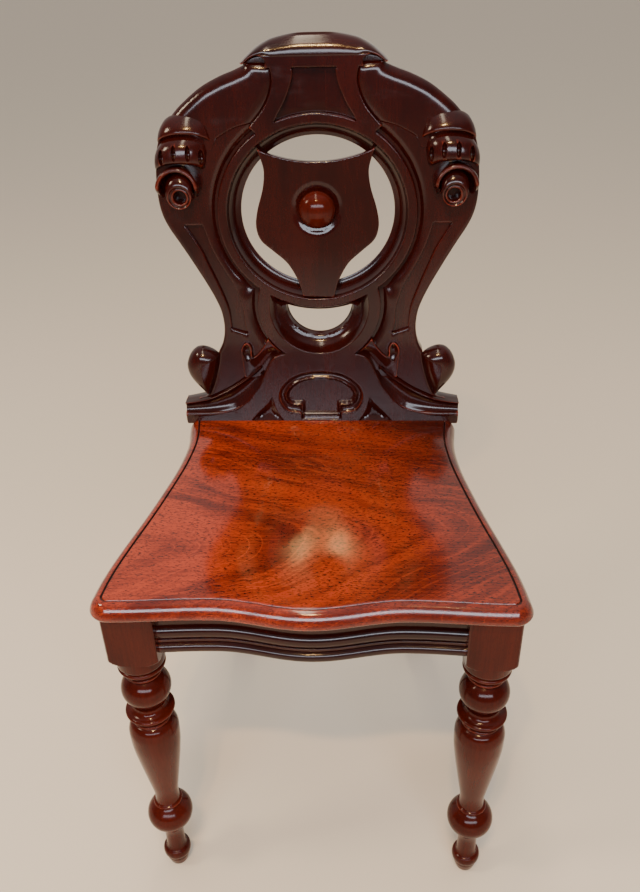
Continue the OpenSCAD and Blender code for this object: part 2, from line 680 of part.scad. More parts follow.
module corner_block(plan, right) {
    color([0.7, 0.55, 0.38]) difference() {
        sided(right) translate([0, 0, block_z]) linear_extrude(corner_h) polygon(plan);
        block_screw_holes();
        seat_screw_holes();
    }
}
module corner_block_screws() {
    color([0.6, 0.6, 0.62]) both() {
        at_front_screw() screw(front_screw_l);
        at_front_side_screw() screw(front_side_screw_l);
        at_rear_screw() screw(rear_screw_l);
        at_rear_side_screw() screw(rear_side_screw_l);
    }
}
module seat_screws() {
    color([0.6, 0.6, 0.62]) both() at_seat_screws() screw(seat_screw_l);
}

// Back: flat shapes
foot_half = foot_w / 2;
foot_round = foot_h * foot_round_share;
foot_side_v = foot_h * foot_side_share;
crest_v = back_h - crest_h;
tongue_half = rear_in_x - fit;
// The crest's bed ends where its underside starts to droop
crest_bed_half = crest_w / 2 * crest_bed_share;
wing_top_v = back_side_shares[0][1] * back_h;
// Right half of the back's outline without the ears, from the crest's bed down to the tongue
function back_half() = concat(
    [[crest_bed_half, crest_v], [crest_bed_half, wing_top_v]],
    on_face(back_side_shares),
    [for (i = [1:len(on_face(ear_joint_shares)) - 1]) on_face(ear_joint_shares)[i]],
    [[foot_half - 2 * foot_round, foot_h]],
    arc([foot_half - foot_round, foot_side_v], foot_round, 70, 0, 4),
    [[foot_half, -foot_drop / 2], [foot_half - foot_drop / 2, -foot_drop],
        [tongue_half, -foot_drop], [tongue_half, -tongue_l]]);
module back_outline() {
    polygon(concat(back_half(), flipped(back_half())));
}
module ring_shape(w, h) {
    translate([0, ring_v]) polygon(oval(w, h));
}
module disc_shape(r) {
    translate([0, hoop_v]) circle(r = r);
}
// Opening of the hoop, which ends at the ring's band
module hoop_opening(r) {
    difference() {
        disc_shape(r);
        ring_shape(ring_in_w + ring_band, ring_in_h + ring_band);
    }
}
module strap_shape() {
    polygon(concat(on_face(strap_outer_shares), on_face(strap_inner_shares)));
}
// Raised flat bands: ring, hoop, straps, apron and the band under the crest
module band_shape() {
    ring_shape(ring_in_w + ring_band, ring_in_h + ring_band);
    disc_shape(hoop_in_r + hoop_band);
    both() strap_shape();
    fascia_v = last(strap_inner_shares)[1] * back_h;
    fascia_half = fascia_share * crest_w / 2;
    polygon([
        [-fascia_half, fascia_v], [fascia_half, fascia_v],
        [crest_bed_half, crest_v], [-crest_bed_half, crest_v]]);
    polygon(concat(
        on_face(apron_shares), [[foot_half, -foot_drop / 2], [-foot_half, -foot_drop / 2]],
        flipped(on_face(apron_shares))));
    translate([-tongue_half, -tongue_l]) square([2 * tongue_half, tongue_l]);
}
// Moulded foot outside the apron
module moulding_shape() {
    polygon(concat(
        on_face(moulding_shares),
        [[foot_half - foot_round, foot_side_v], [foot_half, foot_h / 2], [foot_half, -foot_drop / 2]],
        [[-foot_half, -foot_drop / 2], [-foot_half, foot_h / 2], [foot_round - foot_half, foot_side_v]],
        flipped(on_face(moulding_shares))));
}
// Raised wing between the strap, the back's edge and the scroll
module wing_shape() {
    intersection() {
        polygon(concat(
            [[0, ring_v]], on_face(wing_low_shares),
            [[back_w / 2, last(wing_low_shares)[1] * back_h], [back_w / 2, back_h], [0, back_h]]));
        polygon(inset(wing_edge(), ground_d));
    }
}
// Outline of the back's upper half, inside which the wings lie
function wing_edge() = concat(
    [for (p = flipped(on_face(back_side_shares))) [-p[0], p[1]]],
    [[0, back_side_shares[0][1] * back_h], [0, 0]]);
// Outline of a scroll
module scroll_tier(s, grow) {
    translate([s[0] * back_w / 2, s[1] * back_h]) circle(r = s[2] * back_w / 2 + grow);
}
module scroll_shape(grow) {
    for (s = scroll_tier_shares) scroll_tier(s, grow);
}
// Outline of the shield about its own foot
function shield_half() = concat(
    smooth(sized(shield_shares, shield_w / 2, shield_h)),
    [for (i = [1:len(smooth(shield_top_shares)) - 1])
        let (q = smooth(shield_top_shares)[i]) [q[0] * shield_w / 2, q[1] * shield_h]]);
shield_foot_v = ring_v - ring_in_h + shield_gap;
module shield_shape() {
    translate([0, shield_foot_v]) polygon(concat(shield_half(), flipped(shield_half())));
}

// Back: places of the fixings, in the plane of the back
module at_back_screws() {
    for (s = back_screw_shares)
        translate([s * tongue_half, back_t, -back_screw_v_share * tongue_l]) rotate([90, 0, 0]) children();
}
// Screws through the ring's ledge into the shield's ears and foot
shield_screw_l = back_t - ledge_d + shield_t * shield_hold_share;
module at_shield_screws() {
    places = [
        [shield_ear_shares[0] * shield_w / 2, shield_foot_v + shield_ear_shares[1] * shield_h],
        [-shield_ear_shares[0] * shield_w / 2, shield_foot_v + shield_ear_shares[1] * shield_h],
        [0, shield_foot_v + ledge_w / 2]];
    for (q = places) translate([q[0], back_t, q[1]]) rotate([90, 0, 0]) children();
}
module at_crest_dowels() {
    both() translate([crest_dowel_share * crest_w / 2, back_t / 2, crest_v]) children();
}
module at_scroll_dowel() {
    translate([scroll_dowel_share[0] * back_w / 2, ground_d, scroll_dowel_share[1] * back_h])
        rotate([90, 0, 0]) children();
}
module at_ear_dowel() {
    translate([ear_joint_shares[1][0] * back_w / 2, (ground_d + back_t) / 2, ear_dowel_share * back_h])
        rotate([0, 90, 0]) children();
}
module at_boss() {
    translate([0, ledge_d - shield_t, shield_foot_v + boss_share * shield_h]) rotate([90, 0, 0]) children();
}

module back_panel() {
    color([0.27, 0.08, 0.05]) on_back() difference() {
        union() {
            plate(ground_d, back_t) back_outline();
            plate(0, ground_d) intersection() {
                band_shape();
                back_outline();
            }
            plate(moulding_d, ground_d) intersection() {
                moulding_shape();
                back_outline();
            }
            plate(ground_d / 2, ground_d) both() difference() {
                wing_shape();
                scroll_shape(fit);
            }
        }
        plate(-overrun, ledge_d) ring_shape(ring_in_w, ring_in_h);
        plate(-overrun, back_t + overrun) ring_shape(ring_in_w - ledge_w, ring_in_h - ledge_w);
        plate(-overrun, ledge_d) hoop_opening(hoop_in_r);
        plate(-overrun, back_t + overrun) hoop_opening(hoop_rear_r);
        plate(-overrun, moulding_d) translate([0, sunk_panel_shares[1] * back_h])
            polygon(oval(sunk_panel_shares[0] * back_w / 2, sunk_panel_shares[2] * back_h));
        at_back_screws() screw_hole(back_t + screw_bite, overrun);
        at_shield_screws() screw_hole(shield_screw_l, overrun);
        at_crest_dowels() dowel(crest_dowel_r + fit, dowel_grip + fit);
        both() at_scroll_dowel() dowel(dowel_r + fit, dowel_grip + fit);
        both() at_ear_dowel() dowel(dowel_r + fit, dowel_grip + fit);
    }
}
module back_screws() {
    color([0.6, 0.6, 0.62]) on_back() at_back_screws() screw(back_t + screw_bite);
}

module crest_rail() {
    top = smooth(sized(crest_top_shares, crest_w / 2, crest_h));
    under = smooth(sized(crest_under_shares, crest_w / 2, crest_h));
    half = concat(top, under);
    color([0.27, 0.08, 0.05]) on_back() difference() {
        plate(-crest_nose, back_t) translate([0, crest_v]) polygon(concat(half, flipped(half)));
        at_crest_dowels() dowel(crest_dowel_r + fit, dowel_grip + fit);
    }
}
module crest_dowels() {
    color([0.75, 0.6, 0.42]) on_back() at_crest_dowels() dowel(crest_dowel_r, dowel_grip);
}

module shield() {
    color([0.27, 0.08, 0.05]) on_back() difference() {
        plate(ledge_d - shield_t, ledge_d) shield_shape();
        at_shield_screws() screw_hole(shield_screw_l, overrun);
        at_boss() cylinder(r = spigot_r + fit, h = 2 * spigot_l + 2 * fit, center = true);
    }
}
module shield_screws() {
    color([0.6, 0.6, 0.62]) on_back() at_shield_screws() screw(shield_screw_l);
}
module shield_boss() {
    dome = [for (i = [0:12]) [boss_r * cos(90 * i / 12), boss_rise * sin(90 * i / 12)]];
    color([0.27, 0.08, 0.05]) on_back() at_boss() rotate_extrude()
        polygon(concat([[0, -spigot_l], [spigot_r, -spigot_l], [spigot_r, 0]], dome));
}

module scroll(right) {
    tube = [scroll_tube_share[0] * back_w / 2, scroll_tube_share[1] * back_h];
    color([0.27, 0.08, 0.05]) on_back() sided(right) difference() {
        union() {
            for (s = scroll_tier_shares)
                plate(ground_d - s[3] * scroll_rise, ground_d) intersection() {
                    scroll_tier(s, 0);
                    back_outline();
                }
            plate(ground_d - tube_rise, ground_d) translate(tube) circle(r = tube_r);
        }
        plate(ground_d - tube_rise - overrun, ground_d - tube_rise + tube_bore_d)
            translate(tube) circle(r = tube_bore_r);
        at_scroll_dowel() dowel(dowel_r + fit, dowel_grip + fit);
    }
}
module scroll_dowels() {
    color([0.75, 0.6, 0.42]) on_back() both() at_scroll_dowel() dowel(dowel_r, dowel_grip);
}

module ear(right) {
    inner = on_face(ear_joint_shares);
    outer = on_face(ear_outer_shares);
    outline = concat(inner, [for (i = [1:len(outer) - 1]) outer[i]]);
    color([0.27, 0.08, 0.05]) on_back() sided(right) difference() {
        plate(ground_d - ear_rise, back_t) polygon(outline);
        at_ear_dowel() dowel(dowel_r + fit, dowel_grip + fit);
    }
}
module ear_dowels() {
    color([0.75, 0.6, 0.42]) on_back() both() at_ear_dowel() dowel(dowel_r, dowel_grip);
}

seat_board();
front_rail();
side_rail(false);  // left_side_rail
side_rail(true);  // right_side_rail
rear_rail();
front_leg(false);  // left_front_leg
front_leg(true);  // right_front_leg
rear_leg(false);  // left_rear_leg
rear_leg(true);  // right_rear_leg
corner_block(front_block_plan, false);  // front_left_corner_block
corner_block(front_block_plan, true);  // front_right_corner_block
corner_block(rear_block_plan, false);  // rear_left_corner_block
corner_block(rear_block_plan, true);  // rear_right_corner_block
corner_block_screws();
seat_screws();
back_panel();
back_screws();
crest_rail();
crest_dowels();
shield();
shield_screws();
shield_boss();
scroll(false);  // left_scroll
scroll(true);  // right_scroll
scroll_dowels();
ear(false);  // left_ear
ear(true);  // right_ear
ear_dowels();
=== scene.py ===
"""Dresses the hall chair: a moulded mahogany seat on turned legs, with a carved and pierced back.

Run as a script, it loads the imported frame, carves each piece over its plain solid, and sets the stage.
Sizes in the tables are millimetres in the plane of the back: across, and up from the seat.
"""

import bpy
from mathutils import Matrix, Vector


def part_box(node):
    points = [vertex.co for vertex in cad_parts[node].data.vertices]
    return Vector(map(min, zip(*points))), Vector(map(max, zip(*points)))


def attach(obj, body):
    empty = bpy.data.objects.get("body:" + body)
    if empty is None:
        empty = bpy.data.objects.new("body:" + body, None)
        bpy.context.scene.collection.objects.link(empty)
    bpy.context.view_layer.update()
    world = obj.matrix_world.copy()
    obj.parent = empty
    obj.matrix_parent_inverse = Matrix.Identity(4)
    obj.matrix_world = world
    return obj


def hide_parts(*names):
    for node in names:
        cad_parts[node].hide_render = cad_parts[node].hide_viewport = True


bl_info = {
    "name": "Hall Chair",
    "version": (1, 0, 0),
    "blender": (4, 5, 0),
    "location": "View3D > Sidebar > Hall Chair",
    "description": "Carves and polishes a hall chair over its plain frame",
    "category": "Add Mesh",
}

import math

import bmesh
import bpy
import numpy as np
from mathutils import Matrix, Vector, kdtree
from mathutils.geometry import delaunay_2d_cdt

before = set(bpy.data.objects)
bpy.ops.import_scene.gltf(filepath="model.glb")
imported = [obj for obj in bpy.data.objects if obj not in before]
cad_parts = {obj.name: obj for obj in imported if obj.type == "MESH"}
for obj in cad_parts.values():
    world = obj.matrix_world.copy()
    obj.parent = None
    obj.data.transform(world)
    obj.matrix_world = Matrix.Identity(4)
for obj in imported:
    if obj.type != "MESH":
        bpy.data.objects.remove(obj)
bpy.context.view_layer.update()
seat_low, seat_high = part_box("seat_board")
leg_low, leg_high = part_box("right_front_leg")
rail_low, rail_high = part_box("front_rail")

MM = 0.001
TAU = 2 * math.pi

CARVED, LEVEL, TURNED = "Carved mahogany", "Carved mahogany, level grain", "Turned mahogany"
GLASSY, FIGURED = "Shield mahogany", "Figured mahogany"
BLOCK, DOWEL, STEEL = "Block timber", "Dowel timber", "Old screw steel"

# ---------------------------------------------------------------- sizes a user would change


def length(name, about, default):
    return bpy.props.FloatProperty(name=name, description=about, default=default, unit="LENGTH")


def tint(name, about, default):
    return bpy.props.FloatVectorProperty(
        name=name, description=about, default=default, subtype="COLOR", size=3, min=0, max=1)


class SeatSizes(bpy.types.PropertyGroup):
    top: length("Height", "Height of the seat's top above the floor", seat_high.z)
    thickness: length("Thickness", "Thickness of the seat board", seat_high.z - seat_low.z)
    front: length("Front", "Foremost point of the seat", seat_low.y)
    width: length("Width", "Width of the seat at its front corners", seat_high.x - seat_low.x)
    waist: length("Waist", "Width of the seat at its narrowest", 0.320)
    bow: length("Bow", "Swell of the front edge at its middle", 0.0125)
    border: length("Border", "Width of the rounded band around the seat", 0.012)
    quirk: length("Sunk line", "Depth of the sunk line inside the rounded band", 0.0012)


class BackSizes(bpy.types.PropertyGroup):
    foot: length("Foot", "Depth at which the back stands", seat_high.y)
    lean: bpy.props.FloatProperty(
        name="Lean", description="Lean of the back from upright", default=math.radians(5), unit="ROTATION")
    thickness: length("Thickness", "Thickness of the back at its bands", 0.024)
    ground: length("Ground", "Depth of the ground behind the bands", 0.008)
    border: length("Border", "Depth of the side borders behind the bands", 0.0035)
    scroll_reach: length("Scrolls", "Reach of the scrolls in front of the bands", 0.0165)
    boss_rise: length("Boss", "Rise of the domed boss", 0.0148)


class LegSizes(bpy.types.PropertyGroup):
    block: length("Block", "Width of the square block at a front leg's head", 0.050)
    ball: length("Balls", "Largest radius of the two balls", 0.0259)
    shaft: length("Shaft", "Largest radius of the shaft", 0.0266)
    arris: length("Arris", "Rounding of the square edges", 0.0012)


class FinishLooks(bpy.types.PropertyGroup):
    back_light: tint("Back, light grain", "Lighter grain of the carved wood", (0.038, 0.0034, 0.0017))
    back_dark: tint("Back, dark grain", "Darker grain of the carved wood", (0.0095, 0.0010, 0.0008))
    seat_light: tint("Seat, light grain", "Lighter grain of the seat", (0.39, 0.043, 0.0120))
    seat_dark: tint("Seat, dark grain", "Darker grain of the seat", (0.120, 0.0100, 0.0036))
    # The worn colour lightens the arrises: rubbed polish, and also a painted highlight along the edges.
    worn_and_highlit: tint("Worn edges", "Wood that shows where polish has rubbed off", (0.30, 0.040, 0.016))
    wear: bpy.props.FloatProperty(
        name="Wear", description="How far the edges are rubbed", subtype="FACTOR", min=0, max=1, default=0.9)


# ---------------------------------------------------------------- lines in the plane of the back


def smooth(line, steps=6, closed=False):
    """Smooth curve through a line's points."""
    p = np.array(line, float)
    n = len(p)
    out = []
    for i in range(n if closed else n - 1):
        a, b, c, d = (p[(i + k) % n] if closed else p[min(max(i + k, 0), n - 1)] for k in (-1, 0, 1, 2))
        for t in np.arange(steps) / steps:
            at = 2 * b + (c - a) * t + (2 * a - 5 * b + 4 * c - d) * t**2 + (3 * b - a - 3 * c + d) * t**3
            out.append(at / 2)
    return np.array(out if closed else out + [p[-1]])


def spaced(line, step, closed=True, corner=30):
    """Points at an even spacing along a line, with its corners kept."""
    p = np.array(line, float)
    p = p[np.linalg.norm(p - np.roll(p, 1, 0), axis=1) > 1e-4]
    n = len(p)
    into, out_of = p - np.roll(p, 1, 0), np.roll(p, -1, 0) - p
    across = into[:, 0] * out_of[:, 1] - into[:, 1] * out_of[:, 0]
    turn = np.degrees(np.abs(np.arctan2(across, (into * out_of).sum(1))))
    corners = [i for i in range(n) if turn[i] > corner or (not closed and i in (0, n - 1))] or [0]
    rows = []
    for i, j in zip(corners, corners[1:] + ([corners[0] + n] if closed else [])):
        run = p[[k % n for k in range(i, j + 1)]]
        s = np.r_[0, np.cumsum(np.linalg.norm(np.diff(run, axis=0), axis=1))]
        at = np.linspace(0, s[-1], max(1, round(s[-1] / step)) + 1)[:-1]
        rows.append(np.c_[np.interp(at, s, run[:, 0]), np.interp(at, s, run[:, 1])])
    return np.vstack(rows if closed else rows + [p[-1:]])


def mirrored(line):
    """The other half of a line, run the other way."""
    return [(-x, y) for x, y in reversed([tuple(q) for q in line])]


def oval(w, h, at=(0, 0), n=120):
    a = np.arange(n) * TAU / n
    return np.c_[at[0] + w * np.cos(a), at[1] + h * np.sin(a)]


def within(loops, q):
    """Whether each point lies inside some closed lines, holes left out."""
    odd = np.zeros(len(q), bool)
    for a in loops:
        for (x0, y0), (x1, y1) in zip(a, np.roll(a, -1, 0)):
            if y0 != y1:
                odd ^= ((y0 > q[:, 1]) != (y1 > q[:, 1])) & (q[:, 0] < (x1 - x0) * (q[:, 1] - y0) / (y1 - y0) + x0)
    return odd


def among(q, inner, outer):
    """Whether each point lies inside all of some closed lines and outside the others."""
    return np.all([within([a], q) for a in inner] + [~within([a], q) for a in outer], axis=0)


def reach(lines, q, closed=True):
    """Distance from each point to the nearest of some evenly spaced lines."""
    ahead, behind, start = [], [], 0
    for a in lines:
        k = np.arange(len(a))
        ahead.append(start + ((k + 1) % len(a) if closed else np.minimum(k + 1, len(a) - 1)))
        behind.append(start + ((k - 1) % len(a) if closed else np.maximum(k - 1, 0)))
        start += len(a)
    a, ahead, behind = np.vstack(lines), np.concatenate(ahead), np.concatenate(behind)
    tree = kdtree.KDTree(len(a))
    for i, (x, y) in enumerate(a):
        tree.insert((x, y, 0), i)
    tree.balance()
    near = np.array([tree.find((x, y, 0))[1] for x, y in q])
    best = np.full(len(q), 1e9)
    for other in (ahead, behind):
        start, run = a[near], a[other[near]] - a[near]
        t = np.clip(((q - start) * run).sum(1) / np.maximum((run * run).sum(1), 1e-12), 0, 1)
        best = np.minimum(best, np.linalg.norm(q - start - t[:, None] * run, axis=1))
    return best


def triangles(loops, points=()):
    """Triangles over points and closed lines, as points and corners."""
    v, e = [], []
    for a in loops:
        n = len(v)
        v += [Vector(p) for p in a]
        e += [(n + i, n + (i + 1) % len(a)) for i in range(len(a))]
    v += [Vector(p) for p in points]
    made = delaunay_2d_cdt(v, e, [], 0, 1e-5)
    return np.array([tuple(p) for p in made[0]]), np.array([tuple(f) for f in made[2]])


def rims(tri):
    """Edges of an area, each with the area on its left."""
    e = {(int(t[i]), int(t[(i + 1) % 3])) for t in tri for i in range(3)}
    return [(a, b) for a, b in e if (b, a) not in e]


def region(lines, keep, step=1.4, least=4):
    """Outlines of the area where keep holds, cut out by closed lines."""
    v, tri = triangles([spaced(a, step) for a in lines])
    tri = tri[keep(v[tri].mean(1))]
    follow = {}
    for a, b in rims(tri):
        follow.setdefault(a, []).append(b)
    loops = []
    while follow:
        a = next(iter(follow))
        loop = [a]
        while a in follow:
            b = follow[a].pop()
            if not follow[a]:
                del follow[a]
            a = b
            if a == loop[0]:
                break
            loop.append(a)
        p = v[loop]
        area = abs((p[:, 0] * np.roll(p[:, 1], -1) - p[:, 1] * np.roll(p[:, 0], -1)).sum()) / 2
        if len(p) > 2 and area > least:
            loops.append(spaced(p, step))
    return loops


def rounding(d, r, rise=None):
    """How far a rounded edge falls away at each distance from it."""
    x = np.clip(1 - d / r, 0, 1)
    return (r if rise is None else rise) * (1 - np.sqrt(np.maximum(1 - x * x, 0)))


def ramp(x, a, b):
    """Soft rise from 0 at a to 1 at b."""
    t = np.clip((x - a) / (b - a), 0, 1)
    return t * t * (3 - 2 * t)


def on_back(u, d, v):
    """Points of the leaning back, in metres, from across, depth and height in millimetres."""
    s = bpy.context.scene.hall_back
    c, n = math.cos(s.lean), math.sin(s.lean)
    u, d, v = (a.ravel() for a in np.broadcast_arrays(np.asarray(u, float), d, v))
    top = bpy.context.scene.hall_seat.top
    return np.c_[u * MM, s.foot + (d * c + v * n) * MM, top + (v * c - d * n) * MM]


# ---------------------------------------------------------------- meshes


def store(mesh, name, value):
    """Writes a number for each point of a mesh."""
    mesh.attributes.new(name, "FLOAT", "POINT").data.foreach_set("value", value.astype(np.float32))


def settle(bm, mesh):
    """Splits large faces, turns every face outward and writes the result to a mesh."""
    bmesh.ops.triangulate(bm, faces=[f for f in bm.faces if len(f.verts) > 4])
    bmesh.ops.recalc_face_normals(bm, faces=bm.faces)
    bm.to_mesh(mesh)
    bm.free()


def mark_edges(mesh):
    """Writes how sharply each point stands out or in, for the rubbed edges with their painted highlight and the
    painted shade in the hollows.
    """
    n, m = len(mesh.vertices), len(mesh.edges)
    co, no, e = np.zeros(n * 3), np.zeros(n * 3), np.zeros(m * 2, int)
    mesh.vertices.foreach_get("co", co)
    mesh.vertices.foreach_get("normal", no)
    mesh.edges.foreach_get("vertices", e)
    co, no, e = co.reshape(-1, 3), no.reshape(-1, 3), e.reshape(-1, 2)
    run = co[e[:, 1]] - co[e[:, 0]]
    long = np.maximum(np.linalg.norm(run, axis=1), 2e-4)
    bend = ((no[e[:, 1]] - no[e[:, 0]]) * run).sum(1) / long**2
    value, share = np.zeros(n), np.zeros(n)
    for k in (0, 1):
        np.add.at(value, e[:, k], bend * long)
        np.add.at(share, e[:, k], long)
    value /= np.maximum(share, 1e-9)
    soft, count = value * 2, np.full(n, 2.0)
    for k in (0, 1):
        np.add.at(soft, e[:, k], value[e[:, 1 - k]])
        np.add.at(count, e[:, k], 1)
    soft /= count
    store(mesh, "arris", ramp(soft, 90, 480))
    # The hollow value marks creases and recesses for painted shade.
    store(mesh, "hollow", ramp(-soft, 150, 600))


def piece(name, shape, nodes=(), finish=CARVED, sharp=38, extra=None, merge=1e-5):
    """Makes one piece of the chair from points in metres and faces, and ties it to the frame."""
    mesh = bpy.data.meshes.new(name)
    mesh.from_pydata([tuple(p) for p in shape[0]], [], [tuple(int(i) for i in f) for f in shape[1]])
    bm = bmesh.new()
    bm.from_mesh(mesh)
    bmesh.ops.remove_doubles(bm, verts=bm.verts, dist=merge)
    bmesh.ops.dissolve_degenerate(bm, edges=bm.edges, dist=merge / 2)
    bmesh.ops.recalc_face_normals(bm, faces=bm.faces)
    bm.to_mesh(mesh)
    bm.free()
    if extra:
        mesh = extra(mesh) or mesh
    dress(name, mesh, nodes, finish, sharp)


def dress(name, mesh, nodes=(), finish=CARVED, sharp=38):
    """Shades a mesh, gives it its finish and ties it to the frame."""
    mesh.polygons.foreach_set("use_smooth", [True] * len(mesh.polygons))
    mesh.set_sharp_from_angle(angle=math.radians(sharp))
    mark_edges(mesh)
    mesh.materials.clear()
    mesh.materials.append(bpy.data.materials[finish])
    o = bpy.data.objects.new(name, mesh)
    bpy.context.scene.collection.objects.link(o)
    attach(o, "root")
    if nodes:
        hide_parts(*nodes)


def slab(loops, front, back, step=1.4, rings=(0.22, 0.6, 1.2, 2.1, 3.2), grid=4.5):
    """Points and faces of a solid between two surfaces over a flat outline."""
    loops = [spaced(a, step) for a in loops]
    found = []
    for a in loops:
        run = np.roll(a, -1, 0) - np.roll(a, 1, 0)
        side = np.c_[-run[:, 1], run[:, 0]] / np.maximum(np.linalg.norm(run, axis=1), 1e-9)[:, None]
        for r in rings:
            for s in (r, -r):
                c = (a + side * s)[:: max(1, int(r / step))]
                c = c[within(loops, c)]
                if len(c):
                    found.append(c[reach(loops, c) > 0.9 * r])
    low, high = np.vstack(loops).min(0), np.vstack(loops).max(0)
    xs, ys = np.arange(low[0], high[0], grid), np.arange(low[1], high[1], grid * 0.866)
    mesh = np.array([(x + (j % 2) * grid / 2, y) for j, y in enumerate(ys) for x in xs])
    mesh = mesh[within(loops, mesh)]
    if len(mesh):
        found.append(mesh[reach(loops, mesh) > (rings[-1] if rings else 0) + 0.45 * grid])
    inner = np.vstack(found) if found else np.zeros((0, 2))
    if len(inner):
        cell = np.round(inner / (0.34 * step)).astype(int)
        inner = inner[np.unique(cell, axis=0, return_index=True)[1]]
    v, tri = triangles(loops, inner)
    tri = tri[within(loops, v[tri].mean(1))]
    border = rims(tri)
    d = reach(loops, v)
    d[[a for a, b in border]] = 0
    f, b = front(v, d), back(v, d) if callable(back) else np.full(len(v), float(back))
    points = np.vstack([on_back(v[:, 0], f, v[:, 1]), on_back(v[:, 0], b, v[:, 1])])
    n = len(v)
    faces = [tuple(t) for t in tri] + [(t[2] + n, t[1] + n, t[0] + n) for t in tri]
    faces += [(a, a + n, c + n, c) for a, c in border]
    return points, faces


def both_sides(shape):
    """A right-hand piece with its mirror image on the left."""
    points, faces = shape
    flip = points * np.array([-1, 1, 1])
    n = len(points)
    return np.vstack([points, flip]), list(faces) + [tuple(i + n for i in reversed(f)) for f in faces]


def skin(rows, around=False, loop=False, caps=True):
    """Points and faces of a skin over rows; around closes each row, loop joins the last row to the first."""
    rows = np.array(rows, float)
    k, n = rows.shape[:2]
    faces = []
    for i in range(k if loop else k - 1):
        for j in range(n if around else n - 1):
            a, b, c, d = i * n + j, i * n + (j + 1) % n, (i + 1) % k * n + (j + 1) % n, (i + 1) % k * n + j
            faces.append((a, b, c, d))
    if caps and around and not loop:
        faces += [tuple(range(n))[::-1], tuple((k - 1) * n + j for j in range(n))]
    return rows.reshape(-1, 3), faces


def circle(n, start=0.0):
    """Cosines and sines at even steps around a circle."""
    a = start + np.arange(n) * TAU / n
    return np.cos(a), np.sin(a)


# ---------------------------------------------------------------- node helpers


class Wiring:
    """Adds nodes to a tree; a value that is a socket is linked, any other is set."""

    def __init__(self, tree):
        self.tree = tree

    def put(self, socket, value):
        if isinstance(value, bpy.types.NodeSocket):
            self.tree.links.new(value, socket)
        else:
            socket.default_value = value

    def node(self, kind, inputs=(), **settings):
        made = self.tree.nodes.new(kind)
        for key, value in settings.items():
            setattr(made, key, value)
        self.fill(made.inputs, dict(inputs))
        return made

    def fill(self, sockets, values):
        for key, value in values.items():
            self.put(sockets[key], value)

    def math(self, operation, a, b=0.0, clamp=False):
        return self.node("ShaderNodeMath", {0: a, 1: b}, operation=operation, use_clamp=clamp).outputs[0]

    def add(self, a, b):
        return self.math("ADD", a, b)

    def sub(self, a, b):
        return self.math("SUBTRACT", a, b)

    def mul(self, a, b, clamp=False):
        return self.math("MULTIPLY", a, b, clamp)

    def mix(self, factor, a, b):
        """A blend of two colours, given as red, green and blue or as sockets."""
        a, b = ((*c, 1) if isinstance(c, tuple) else c for c in (a, b))
        return self.node("ShaderNodeMix", {0: factor, 6: a, 7: b}, data_type="RGBA").outputs[2]

    def stretch(self, vector, by):
        return self.node("ShaderNodeVectorMath", {0: vector, 1: by}, operation="MULTIPLY").outputs[0]

    def noise(self, vector, scale=1.0, detail=3.0, roughness=0.55):
        given = {"Vector": vector, "Scale": scale, "Detail": detail, "Roughness": roughness}
        return self.node("ShaderNodeTexNoise", given).outputs["Fac"]

    def between(self, value, low, high, to_low=0.0, to_high=1.0):
        given = {"Value": value, "From Min": low, "From Max": high, "To Min": to_low, "To Max": to_high}
        return self.node("ShaderNodeMapRange", given, interpolation_type="SMOOTHSTEP").outputs[0]

    def attribute(self, name):
        return self.node("ShaderNodeAttribute", attribute_name=name).outputs["Fac"]


def new_group(name, inputs, outputs, kind="ShaderNodeTree"):
    """A node group with named sockets, and its wiring, what it is given and its results."""
    tree = bpy.data.node_groups.new(name, kind)
    for label, socket, value in inputs:
        made = tree.interface.new_socket(label, in_out="INPUT", socket_type="NodeSocket" + socket)
        if value is not None:
            made.default_value = value
    for label, socket in outputs:
        tree.interface.new_socket(label, in_out="OUTPUT", socket_type="NodeSocket" + socket)
    given, results = tree.nodes.new("NodeGroupInput").outputs, tree.nodes.new("NodeGroupOutput").inputs
    return tree, Wiring(tree), given, results


# GRIME_AND_SHADE is a near-black that paints shade into hollows and creases, with the grime of old polish there.
PORE, GRIME_AND_SHADE = (0.008, 0.002, 0.0015), (0.0045, 0.0013, 0.0010)
DENT, RUBBED_RIM = (0.02, 0.004, 0.003), (0.10, 0.011, 0.0055)


